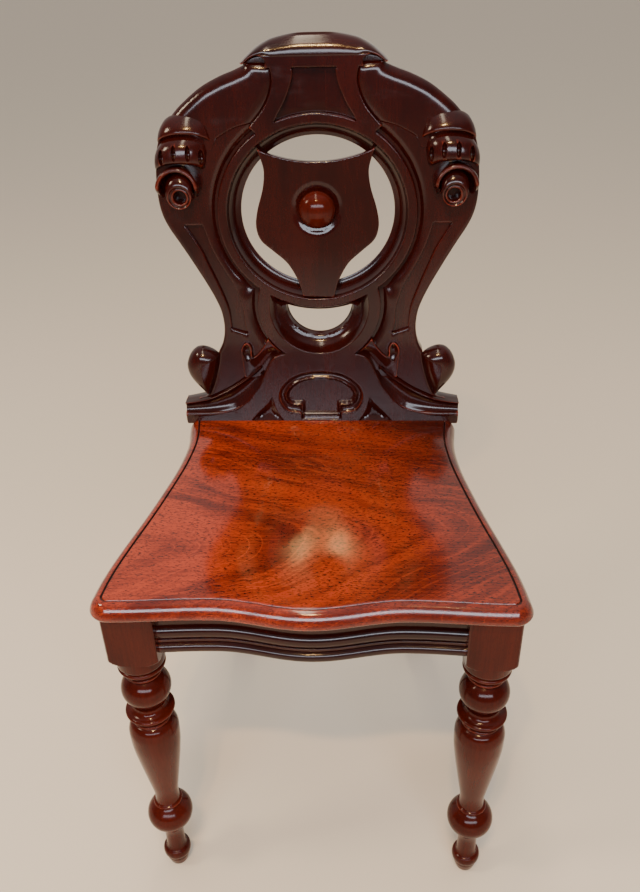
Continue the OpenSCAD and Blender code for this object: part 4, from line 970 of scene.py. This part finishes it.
class HALL_OT_rear_legs(HallOperator, bpy.types.Operator):
    """Makes the swept rear legs with eased arrises"""

    bl_idname = "hall.rear_legs"
    bl_label = "Rear legs"

    def execute(self, context):
        head, foot = 0.034, 0.027
        for node in ("left_rear_leg", "right_rear_leg"):
            lo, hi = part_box(node)
            mid = context.scene.hall_back.foot - 0.004 - head / 2
            sweep = hi.y - foot / 2 - mid
            knee = rail_low.z
            x, w = (hi.x + lo.x) / 2, (hi.x - lo.x) / 2 - 0.0001
            rows = []
            for z in [0.0002, 0.0012, *np.linspace(0.012, knee, 30), hi.z - 0.0003]:
                y = mid + sweep * max(0, 1 - z / knee) ** 1.7
                d = (foot + (head - foot) * min(1, z / knee)) / 2 - 0.0001
                r, shrink = (0.0022, 0) if z > 0.001 else (0.003, 0.0008)
                ring = []
                for sx, sy, start in ((1, -1, -90), (1, 1, 0), (-1, 1, 90), (-1, -1, 180)):
                    at = x + sx * (w - shrink - r), y + sy * (d - shrink - r)
                    for t in np.radians(np.linspace(start, start + 90, 5)):
                        ring.append((at[0] + r * math.cos(t), at[1] + r * math.sin(t), z))
                rows.append(ring)
            piece(node.capitalize(), skin(rows, around=True), [node])
        return {"FINISHED"}


class HALL_OT_board(HallOperator, bpy.types.Operator):
    """Carves the board of the back: its ground, its side borders and the coves of its ring and hoop"""

    bl_idname = "hall.board"
    bl_label = "Board"

    def execute(self, context):
        s = context.scene.hall_back
        ground, thick, border = s.ground / MM, s.thickness / MM, s.border / MM
        side, apron = outline_of_back(), apron_outline()
        ring_out, hoop_out = ring_oval(BAND), hoop_circle(HOOP_OUT)
        holes = [ring_oval(9), hoop_circle(HOOP_IN - 1)]
        hole = region(holes, lambda q: within(holes[:1], q) | within(holes[1:], q))
        piece("Back_board", slab(
            [side, *hole], lambda q, d: ground + rounding(d, 2.2), lambda q, d: thick - 0.05 - rounding(d, 1.6),
            rings=(0.25, 0.7, 1.4, 2.4), grid=9), ["back_panel"])

        stile = spaced([
            *smooth(WING_LOW), (118, 330), (175, 330), (190, 330), (190, 38), (136, 38), *smooth(SHOULDER)[::-1][12:],
            (80, 60), (60, 86), (50, 100), (60, 240), (60, 345)], 1.4)
        sunk = spaced([SUNK[0], *smooth(SUNK[1:8], 4)[1:], *smooth(SUNK[8:], 4)], 1.2)
        sunk_foot = spaced([(102.5, 119), (85.5, 113)], 1.0, closed=False)
        loops = region([stile, side, ring_out, hoop_out, sunk, apron], lambda q: among(
            q, [stile, side], [ring_out, hoop_out, sunk, apron]) & (q[:, 0] > 0))

        def level(q, d):
            e = np.minimum(reach([ring_out], q), reach([hoop_out], q))
            roll = rounding(e - 4.2, 8.8, 5.4)
            eye = 3.2 * np.exp(-(((q[:, 0] - 86.5) / 4.5) ** 2 + ((q[:, 1] - 89) / 9) ** 2) ** 2)
            notch = 2.5 * np.exp(-((q[:, 0] - 79) ** 2 + (q[:, 1] - 168) ** 2) / 60)
            shelf = rounding(reach([sunk_foot], q, False), 3.2, 3.8)
            edge = rounding(reach([side], q), 3.0)
            return border + roll + eye + notch + shelf + edge + rounding(reach([sunk], q), 0.9)

        piece("Back_stiles", both_sides(slab(loops, level, ground + 4.5, grid=3.4)))

        # cove inside the ring: distance in from its edge, and depth
        profile = [(-7, 3), (-0.3, 1.2), (0.05, 1.6), (0.1, 3)]
        for t in np.radians(np.linspace(8, 86, 14)):
            profile.append((0.1 + 13.5 * (1 - math.cos(t)), 2 + 17.6 * math.sin(t)))
        profile += [(13.7, 19.9), (14.0, 20.6), (13.7, 22.4), (12.6, 23.9), (2, 23.95), (-7, 23.95)]
        c, sn = circle(200)
        rows = [on_back((RING_IN[0] - r) * c, z, RING_MIDDLE[1] + (RING_IN[1] - r) * sn) for r, z in profile]
        piece("Ring_cove", skin(rows, around=True, loop=True), sharp=45)

        outer, inner = hoop_circle(HOOP_IN + 1.5), hoop_circle(HOOP_REAR - 3)
        clip, far = ring_oval(BAND - 1.5), ring_oval(BAND + 9)
        mouth = hoop_circle(HOOP_IN)
        loops = region([outer, inner, clip, far], lambda q: among(q, [outer], [clip]) & ~among(q, [inner], [far]))
        open_loop = region([inner, far], lambda q: among(q, [inner], [far]))
        outside = region([mouth, ring_out], lambda q: among(q, [mouth], [ring_out]))

        def cove(q, d):
            e0, e1 = reach(outside, q), reach(open_loop, q)
            t = np.where(within(outside, q), e0 / np.maximum(e0 + e1, 1e-6), 0)
            full = 15.2 * np.sin(np.clip(t / 0.82, 0, 1) * math.pi / 2) ** 0.85
            return 1.3 + full + 8.5 * ramp(t, 0.84, 1.0)

        piece("Hoop_cove", slab(loops, cove, thick, grid=2.4, rings=(0.3, 0.8, 1.5, 2.4)), sharp=45)
        return {"FINISHED"}


class HALL_OT_bands(HallOperator, bpy.types.Operator):
    """Cuts the flat bands: ring, hoop, straps and apron, with eased edges"""

    bl_idname = "hall.bands"
    bl_label = "Bands"

    def execute(self, context):
        piece("Bands", slab(
            band_loops(), lambda q, d: 0.02 + rounding(d, 1.15), 11.5, rings=(0.12, 0.35, 0.7, 1.15, 2.2), grid=6))
        return {"FINISHED"}


class HALL_OT_wings(HallOperator, bpy.types.Operator):
    """Carves the two rounded wings beside the crest"""

    bl_idname = "hall.wings"
    bl_label = "Wings"

    def execute(self, context):
        side, strap = outline_of_back(), strap_outline()
        low = smooth(WING_LOW)
        field = spaced([
            (40, 404.2), (74, 404.2), (200, 404), (200, 320), (112, 320), *low[::-1], (60, 350), (40, 372)], 1.4)
        loops = region([side, strap, field], lambda q: among(q, [side, field], [strap]) & (q[:, 0] > 40))
        outer = spaced(smooth(SIDE)[:90], 1.4, closed=False)
        tip = spaced([(50, 404.2), (74, 404.2)], 1.0, closed=False)
        strap_line = spaced(smooth(STRAP_OUT), 1.4, closed=False)
        low_line = spaced(low, 1.2, closed=False)

        def front(q, d):
            fall, end, beside, crease = (rounding(reach([line], q, False), r, rise) for line, r, rise in (
                (outer, 14, 9.0), (tip, 9, 7.0), (strap_line, 11, 3.2), (low_line, 1.6, 1.6)))
            return 2.4 + np.maximum(fall, end) + beside * 0.9 + crease

        piece("Wings", both_sides(slab(loops, front, 13.0, grid=3.2, rings=(0.25, 0.7, 1.3, 2.1, 3.2, 4.6))))
        return {"FINISHED"}


class HALL_OT_crest(HallOperator, bpy.types.Operator):
    """Shapes the crest rail, which rolls back over the bands"""

    bl_idname = "hall.crest"
    bl_label = "Crest rail"

    def execute(self, context):
        thick = context.scene.hall_back.thickness / MM
        top, under = smooth(CREST_TOP, 10), smooth(CREST_UNDER, 8)
        rows = []
        for u in [*np.linspace(0, 60, 25), *np.linspace(62, 74, 10), 75, 75.35]:
            v1 = np.interp(u, top[:, 0], top[:, 1])
            v0 = np.interp(u, under[::-1, 0], under[::-1, 1]) if u > 50 else np.interp(u, [44, 50], [409.5, 411])
            h = max(v1 - v0, 0.4)
            bead = min(h * 0.12, 1.6) * ramp(u, 44, 56)
            roll = h - bead - min(2.0, h * 0.1)
            start = v1 - roll
            row = [(thick, v0), (2.2, v0), (0.5 * bead, v0 + 0.25 * bead), (-0.02, v0 + bead + 0.02), (-0.02, start)]
            for t in np.radians(np.linspace(8, 90, 14)):
                row.append((17.5 * (1 - math.cos(t)), start + roll * math.sin(t)))
            row += [(21.5, v1 - 0.25 * bead - 0.05), (thick, v1 - 0.12 * h)]
            rows.append(on_back(u, *np.array(row).T))
        rows = [r * np.array([-1, 1, 1]) for r in rows[:0:-1]] + rows
        piece("Crest_rail", skin(rows, around=True), ["crest_rail"], LEVEL, sharp=50)
        return {"FINISHED"}


class HALL_OT_shield(HallOperator, bpy.types.Operator):
    """Makes the flat shield and its domed boss"""

    bl_idname = "hall.shield"
    bl_label = "Shield"

    def execute(self, context):
        half = [*smooth(SHIELD), *smooth(SHIELD_TOP)[1:]]
        loop = spaced([(x, y + SHIELD_FOOT) for x, y in half + mirrored(half[1:-1])], 1.2)

        def front(q, d):
            r = np.hypot(q[:, 0], q[:, 1] - BOSS_MIDDLE)
            return 1.05 + rounding(d, 0.8) + 2.6 * np.sin(np.clip((29 - r) / 9, 0, 1) * math.pi / 2) ** 2

        piece("Shield", slab(
            [loop], front, lambda q, d: 9.95 - rounding(d, 0.5), grid=3.6, rings=(0.15, 0.4, 0.8, 1.6)),
            ["shield"], GLASSY)
        rise = context.scene.hall_back.boss_rise / MM
        dome = [(20 * math.cos(t), 1.4 + (rise - 1.4) * math.sin(t)) for t in np.radians(np.linspace(6, 88, 22))]
        dome = [(0, -7), (5, -7), (5, -0.5), (19.2, -0.5), (20, 0.2), (20.1, 1.4), *dome, (0, rise)]
        c, sn = circle(72)
        rows = [on_back(r * c, 1 - out, BOSS_MIDDLE + r * sn) for r, out in dome]
        piece("Shield_boss", skin(rows, around=True), ["shield_boss"], TURNED, sharp=50)
        return {"FINISHED"}


class HALL_OT_foot(HallOperator, bpy.types.Operator):
    """Carves the moulded foot, the brackets that curl up beside the hoop, the leaves and the cartouche"""

    bl_idname = "hall.foot"
    bl_label = "Foot of the back"

    def execute(self, context):
        self.moulding()
        self.brackets()
        leaf = anticlockwise(leaf_outline())
        piece("Leaves", both_sides(slab(
            [spaced(inset(leaf, -0.8), 1.0)], lambda q, d: 1.6 + np.minimum(0.56 * d, 4.0), 11.0, step=0.9,
            rings=(1.2, 2.4, 3.8), grid=2.0)), sharp=20)
        self.cartouche()
        return {"FINISHED"}

    def moulding(self):
        """The moulding from the brackets out to the ends, and the bead that grows along it."""
        apron = smooth(APRON)
        apron = apron[apron[:, 0] > 66.0]
        even = np.linspace(0, 1, 90)
        lines = [spaced(a, 1.0, closed=False) for a in (smooth(SHOULDER), smooth(RIDGE), apron)]
        shoulder, ridge, apron = (
            np.c_[[np.interp(even, np.linspace(0, 1, len(a)), a[:, k]) for k in (0, 1)]].T for a in lines)
        cross = []
        for t in np.linspace(0, 1, 9):
            cross.append((shoulder + (ridge - shoulder) * t, 8.6 - 9.0 * math.sin(t * math.pi / 2) ** 0.9))
        cross += [(ridge + (apron - ridge) * t, depth) for t, depth in FOOT_CROSS]
        cross += [(apron - np.array([0, 2.0]), 1.2), (apron - np.array([0, 3.0]), 12.5),
                  (shoulder + np.array([0, 0.4]), 12.5)]
        rows = np.array([on_back(line[:, 0], depth, line[:, 1]) for line, depth in cross]).transpose(1, 0, 2)
        piece("Foot_moulding", both_sides(skin(rows, around=True)), sharp=50)
        bead_along("Foot_beads", smooth(FOOT_BEAD))

    def brackets(self):
        curl, brow, hoop_out, apron = smooth(CURL), smooth(BROW), hoop_circle(HOOP_OUT), apron_outline()
        bracket = spaced([*brow, *curl[1:], (80, 55), (66, 58), (56, 79), (49, 83), (44, 86)], 1.2)
        eye = spaced(smooth(EYE, 4, closed=True), 0.8)
        loops = region([bracket, eye, hoop_out, apron], lambda q: among(q, [bracket], [eye, hoop_out, apron]), 1.0)
        upper = spaced(np.vstack([brow, curl]), 1.0, closed=False)
        lower = spaced(smooth(APRON)[:50], 1.0, closed=False)

        def face(q, d):
            e0, e1 = reach([upper], q, False), reach([lower], q, False)
            t = e0 / np.maximum(e0 + e1, 1e-6)
            bowl = 5.4 * np.sin(np.clip(t, 0, 1) * math.pi / 2) ** 1.4
            return 0.3 + bowl * ramp(q[:, 1], 100, 84) + rounding(d, 0.9) * (e1 > 2)

        piece("Brackets", both_sides(slab(loops, face, 12.5, step=1.0, grid=2.4, rings=(0.15, 0.45, 0.9, 1.6))))

    def cartouche(self):
        """A gouged channel around a sunk panel, with two ribs across the panel's foot."""
        outer = cartouche_outline()
        inner = np.array([*smooth(PANEL), (24.6, 21.6), (23, 20.5), (23, 2)])
        ridge = spaced(np.vstack([inner, mirrored(inner[1:])]), 0.9)

        def channel(q, d):
            e0, e1 = reach([outer], q), reach([ridge], q)
            inside = within([ridge], q)
            t = np.clip(e0 / np.maximum(e0 + e1, 1e-6), 0, 1)
            groove = 0.8 + 3.4 * np.sin(t * math.pi) ** 0.8
            depth = np.where(inside, 1.5 + 4.6 * ramp(e1, 0.3, 3.4), groove)
            strip = (np.abs(q[:, 0]) < 23) & (q[:, 1] < 9.6) & inside
            ribs = 1.6 + 1.8 * np.abs(np.sin((q[:, 1] - 3.4) / 4.6 * math.pi))
            return np.where(strip, np.minimum(depth, ribs), depth)

        wide = spaced(inset(anticlockwise(outer), -0.7), 1.0)
        piece("Cartouche", slab([wide], channel, 11.0, step=0.9, rings=(0.5, 1.1, 1.9, 2.9), grid=1.5), sharp=50)


class HALL_OT_scrolls(HallOperator, bpy.types.Operator):
    """Carves the tiered scrolls on the back's shoulders and their hollow tubes"""

    bl_idname = "hall.scrolls"
    bl_label = "Scrolls"

    def execute(self, context):
        k = context.scene.hall_back.scroll_reach / MM / 16.5
        t = np.radians(np.linspace(-92, 92, 61))
        c, sn = np.cos(t), np.sin(t)
        rows = [on_back(u - a * sn, 10 + (out * k - 10) * np.clip(c, 0, 1) ** 0.62, v0 + (v1 - v0) * c)
                for u, a, v0, v1, out in HOODS]
        points, faces = skin(rows)
        n, last = len(t), len(rows) - 1
        faces = [tuple(reversed(f)) for f in faces]
        faces += [(i * n, (i + 1) * n, (i + 1) * n + n - 1, i * n + n - 1) for i in range(last)]
        faces += [tuple(range(n)), tuple(last * n + j for j in range(n))[::-1]]
        piece("Scroll_hoods", both_sides((points, faces)), ["left_scroll", "right_scroll"], sharp=45, extra=gouge)

        # last tier: a flared rim around the tube, which dies away toward the foot
        rows = []
        r, depth = np.array(RIM).T
        for t in np.radians(np.linspace(-140, 140, 85)):
            turned = abs(math.degrees(t))
            fade, small = 1 - ramp(turned, 78, 136), 1 - 0.10 * ramp(turned, 70, 140)
            rows.append(on_back(149.4 - r * small * math.sin(t), np.where(
                depth < 8.5, 8.5 + (depth - 8.5) * fade * k, depth), 281.0 + r * small * math.cos(t)))
        piece("Scroll_rims", both_sides(skin(rows, around=True)), sharp=50)

        c, sn = circle(56)
        rows = [on_back(u - 1 + 1.07 * r * c, depth - 0.1 * r * sn, v + 1.07 * r * sn) for u, v, depth, r in TUBE]
        piece("Scroll_tubes", both_sides(skin(rows, around=True)), sharp=50)
        return {"FINISHED"}


def gouge(mesh):
    """Cuts the upright slots into the middle tier of both scrolls, with a tree that repeats one cutter."""
    marks = bpy.data.meshes.new("Slot_places")
    marks.from_pydata([tuple(on_back(sign * u, depth, v)[0]) for u, v, depth in SLOTS for sign in (1, -1)], [], [])
    marked = bpy.data.objects.new("Slot_places", marks)
    bpy.context.scene.collection.objects.link(marked)
    tree, w, given, results = new_group(
        "Gouged slots",
        [("Geometry", "Geometry", None), ("Places", "Object", None), ("Width", "Float", 0.0056),
         ("Height", "Float", 0.0165), ("Depth", "Float", 0.015), ("Finish", "Material", None)],
        [("Geometry", "Geometry")], "GeometryNodeTree")
    ball = w.node("GeometryNodeMeshUVSphere", {"Segments": 20, "Rings": 12, "Radius": 0.5}).outputs[0]
    # The cutter's points carry painted shade, so the faces it leaves inside the slots are painted dark.
    ball = w.node("GeometryNodeStoreNamedAttribute", {"Geometry": ball, "Name": "soil", "Value": 1.0},
                  data_type="FLOAT", domain="POINT").outputs[0]
    size = w.node("ShaderNodeCombineXYZ", {0: given["Width"], 1: given["Depth"], 2: given["Height"]}).outputs[0]
    places = w.node("GeometryNodeObjectInfo", {"Object": given["Places"]}, transform_space="RELATIVE")
    cutters = w.node("GeometryNodeInstanceOnPoints", {
        "Points": places.outputs["Geometry"], "Instance": ball, "Scale": size}).outputs[0]
    cutters = w.node("GeometryNodeRealizeInstances", {0: cutters}).outputs[0]
    cut = w.node("GeometryNodeMeshBoolean", {"Mesh 2": cutters}, operation="DIFFERENCE", solver="EXACT")
    w.put(cut.inputs["Mesh 1"], given["Geometry"])
    made = grow(mesh, finished(tree, w, cut.outputs[0], given, results), {"Places": marked})
    bpy.data.objects.remove(marked)
    return made


def finished(tree, w, solid, given, results):
    """Ends a tree with its geometry made real and given its finish."""
    solid = w.node("GeometryNodeRealizeInstances", {0: solid}).outputs[0]
    w.put(results[0], w.node("GeometryNodeSetMaterial", {"Geometry": solid, "Material": given["Finish"]}).outputs[0])
    return tree


def grow(mesh, tree, values=()):
    """Runs a tree on a mesh, with the back's finish, and gives the result as a plain mesh."""
    o = bpy.data.objects.new("Workpiece", mesh)
    bpy.context.scene.collection.objects.link(o)
    mod = o.modifiers.new(tree.name, "NODES")
    mod.node_group = tree
    values = {"Finish": bpy.data.materials[CARVED], **dict(values)}
    for item in tree.interface.items_tree:
        if item.item_type == "SOCKET" and item.in_out == "INPUT" and item.name in values:
            mod[item.identifier] = values[item.name]
    bpy.context.view_layer.update()
    graph = bpy.context.evaluated_depsgraph_get()
    made = bpy.data.meshes.new_from_object(o.evaluated_get(graph), depsgraph=graph)
    bpy.data.objects.remove(o)
    return made


def bead_tree():
    """A round bead along a line, as thick at each point as the line's reach attribute says."""
    tree, w, given, results = new_group(
        "Bead on a line", [("Geometry", "Geometry", None), ("Sides", "Int", 14), ("Finish", "Material", None)],
        [("Geometry", "Geometry")], "GeometryNodeTree")
    curve = w.node("GeometryNodeMeshToCurve", {"Mesh": given["Geometry"]}).outputs[0]
    thick = w.node("GeometryNodeInputNamedAttribute", {"Name": "reach"}, data_type="FLOAT").outputs[0]
    round_line = w.node("GeometryNodeCurvePrimitiveCircle", {"Resolution": given["Sides"], "Radius": 1.0}).outputs[0]
    solid = w.node("GeometryNodeCurveToMesh", {
        "Curve": curve, "Profile Curve": round_line, "Scale": thick, "Fill Caps": True}).outputs[0]
    return finished(tree, w, solid, given, results)


def bead_along(name, line):
    """A bead on both sides of the back, along a line of across, height, depth and radius."""
    u, v, d, r = line.T
    n = len(line)
    mesh = bpy.data.meshes.new(name)
    points = np.vstack([on_back(sign * u, d, v) for sign in (1, -1)])
    mesh.from_pydata(points.tolist(), [(k + i, k + i + 1) for k in (0, n) for i in range(n - 1)], [])
    store(mesh, "reach", np.tile(r * MM, 2))
    dress(name, grow(mesh, bead_tree()))


class HALL_OT_ears(HallOperator, bpy.types.Operator):
    """Rounds the two ears at the foot of the back"""

    bl_idname = "hall.ears"
    bl_label = "Ears"

    def execute(self, context):
        def puff(d):
            t = np.clip(d / 17.5, 0, 1)
            return np.sqrt(t * (2 - t))

        ear = slab([spaced(smooth(EAR, 5, closed=True), 1.2)], lambda q, d: 6 - 15.6 * puff(d),
                   lambda q, d: 6 + 13 * puff(d) ** 0.8, step=1.2, rings=(0.15, 0.5, 1.1, 2.0, 3.2, 4.8), grid=2.6)
        piece("Ears", both_sides(ear), ["left_ear", "right_ear"], sharp=60, merge=2e-5)
        return {"FINISHED"}


CAMERA_AT, CAMERA_LENS, CAMERA_TURN = (0.0461, -0.7738, 0.9929), 34.63, (32.925, -3.0955, -1.6261)
# name, place, aim, size, power and colour
LIGHTS = [
    ("Window", (0.1, -2.75, 1.75), (0, 0, 0.6), (3.2, 0.6), 86, (0.82, 0.90, 1.0)),
    ("Ceiling", (-0.15, 0.0, 2.4), (-0.05, 0.0, 0), (1.8, 0.18), 15, (1.0, 0.83, 0.62)),
    ("Left lamp", (-0.18, -1.25, 2.3), (0, 0, 0.5), (0.07, 0.07), 12, (1.0, 0.62, 0.24)),
    ("Right lamp", (-0.03, -1.25, 2.3), (0, 0, 0.5), (0.07, 0.07), 12, (1.0, 0.62, 0.24)),
    ("Side glow", (-1.5, -0.5, 1.8), (0, 0, 0.45), (0.4, 0.4), 13, (1.0, 0.80, 0.58))]


class HALL_OT_stage(HallOperator, bpy.types.Operator):
    """Sets the floor, the soft lights and the camera"""

    bl_idname = "hall.stage"
    bl_label = "Stage"

    def execute(self, context):
        self.floor(context.scene)
        self.room(context.scene)
        for name, at, aim, size, power, color in LIGHTS:
            data = bpy.data.lights.new(name, "AREA")
            data.shape = "RECTANGLE"
            data.size, data.size_y = size
            data.energy, data.color = power, color
            o = bpy.data.objects.new(name, data)
            o.location = at
            o.rotation_euler = (Vector(aim) - Vector(at)).to_track_quat("-Z", "Y").to_euler()
            context.scene.collection.objects.link(o)
        self.camera(context.scene)
        return {"FINISHED"}

    def floor(self, scene):
        m = bpy.data.materials.new("Pale floor")
        m.use_nodes = True
        shader = m.node_tree.nodes["Principled BSDF"]
        shader.inputs["Base Color"].default_value = (0.84, 0.72, 0.57, 1)
        shader.inputs["Roughness"].default_value = 0.85
        mesh = bpy.data.meshes.new("Floor")
        mesh.from_pydata([(-20, -20, 0), (20, -20, 0), (20, 30, 0), (-20, 30, 0)], [], [(0, 1, 2, 3)])
        mesh.materials.append(m)
        floor = bpy.data.objects.new("Floor", mesh)
        scene.collection.objects.link(floor)

    def room(self, scene):
        """A soft room: dark ahead of the chair, pale behind it, with a dim patch straight behind the back."""
        scene.world = world = bpy.data.worlds.new("Soft room")
        world.use_nodes = True
        w = Wiring(world.node_tree)
        way = w.node("ShaderNodeSeparateXYZ", {0: w.node("ShaderNodeTexCoord").outputs["Generated"]}).outputs
        wall = w.mix(w.between(way["Y"], -0.25, 0.5), (0.15, 0.15, 0.155), (0.86, 0.78, 0.70))
        room = w.mix(w.between(way["Z"], 0.55, 0.97), wall, (0.72, 0.72, 0.73))
        aside = w.between(w.math("ABSOLUTE", w.add(way["X"], 0.05)), 0.03, 0.13, 1.0, 0.0)
        above = w.mul(w.between(way["Z"], 0.15, 0.35), w.between(way["Y"], 0.5, 0.7))
        back = world.node_tree.nodes["Background"]
        w.fill(back.inputs, {"Color": w.mix(w.mul(aside, above), room, (0.16, 0.12, 0.09)), "Strength": 0.9})

    def camera(self, scene):
        data = bpy.data.cameras.new("Camera")
        data.sensor_width, data.lens = 36, CAMERA_LENS
        data.clip_start, data.clip_end = 0.05, 60
        cam = bpy.data.objects.new("Camera", data)
        scene.collection.objects.link(cam)
        down, yaw, roll = (math.radians(k) for k in CAMERA_TURN)
        ahead = Vector((math.sin(yaw) * math.cos(down), math.cos(yaw) * math.cos(down), -math.sin(down)))
        right = Vector((math.cos(yaw), -math.sin(yaw), 0))
        up = right.cross(ahead)
        x = math.cos(roll) * right + math.sin(roll) * up
        y = math.cos(roll) * up - math.sin(roll) * right
        cam.matrix_world = Matrix.Translation(CAMERA_AT) @ Matrix((x, y, -ahead)).transposed().to_4x4()
        scene.camera = cam


class HALL_PT_panel(bpy.types.Panel):
    """Lists the pieces of the hall chair"""

    bl_idname = "HALL_PT_panel"
    bl_label = "Hall Chair"
    bl_space_type = "VIEW_3D"
    bl_region_type = "UI"
    bl_category = "Hall Chair"

    def draw(self, context):
        scene = context.scene
        for group in (scene.hall_seat, scene.hall_back, scene.hall_legs, scene.hall_finish):
            box = self.layout.box()
            for key in group.__annotations__:
                box.prop(group, key)
        for o in OPERATORS:
            self.layout.operator(o.bl_idname)


OPERATORS = (
    HALL_OT_finishes, HALL_OT_seat, HALL_OT_rails, HALL_OT_front_legs, HALL_OT_rear_legs, HALL_OT_board,
    HALL_OT_bands, HALL_OT_wings, HALL_OT_crest, HALL_OT_shield, HALL_OT_foot, HALL_OT_scrolls, HALL_OT_ears,
    HALL_OT_stage)
GROUPS = {"hall_seat": SeatSizes, "hall_back": BackSizes, "hall_legs": LegSizes, "hall_finish": FinishLooks}


def register():
    for c in (*GROUPS.values(), *OPERATORS, HALL_PT_panel):
        bpy.utils.register_class(c)
    for key, group in GROUPS.items():
        setattr(bpy.types.Scene, key, bpy.props.PointerProperty(type=group))


def unregister():
    for key in GROUPS:
        delattr(bpy.types.Scene, key)
    for c in reversed((*GROUPS.values(), *OPERATORS, HALL_PT_panel)):
        bpy.utils.unregister_class(c)


def main():
    register()
    for o in OPERATORS:
        group, name = o.bl_idname.split(".")
        if getattr(getattr(bpy.ops, group), name)() != {"FINISHED"}:
            raise RuntimeError(f"{o.bl_label} did not finish")
    bpy.context.view_layer.update()


if __name__ == "__main__":
    main()
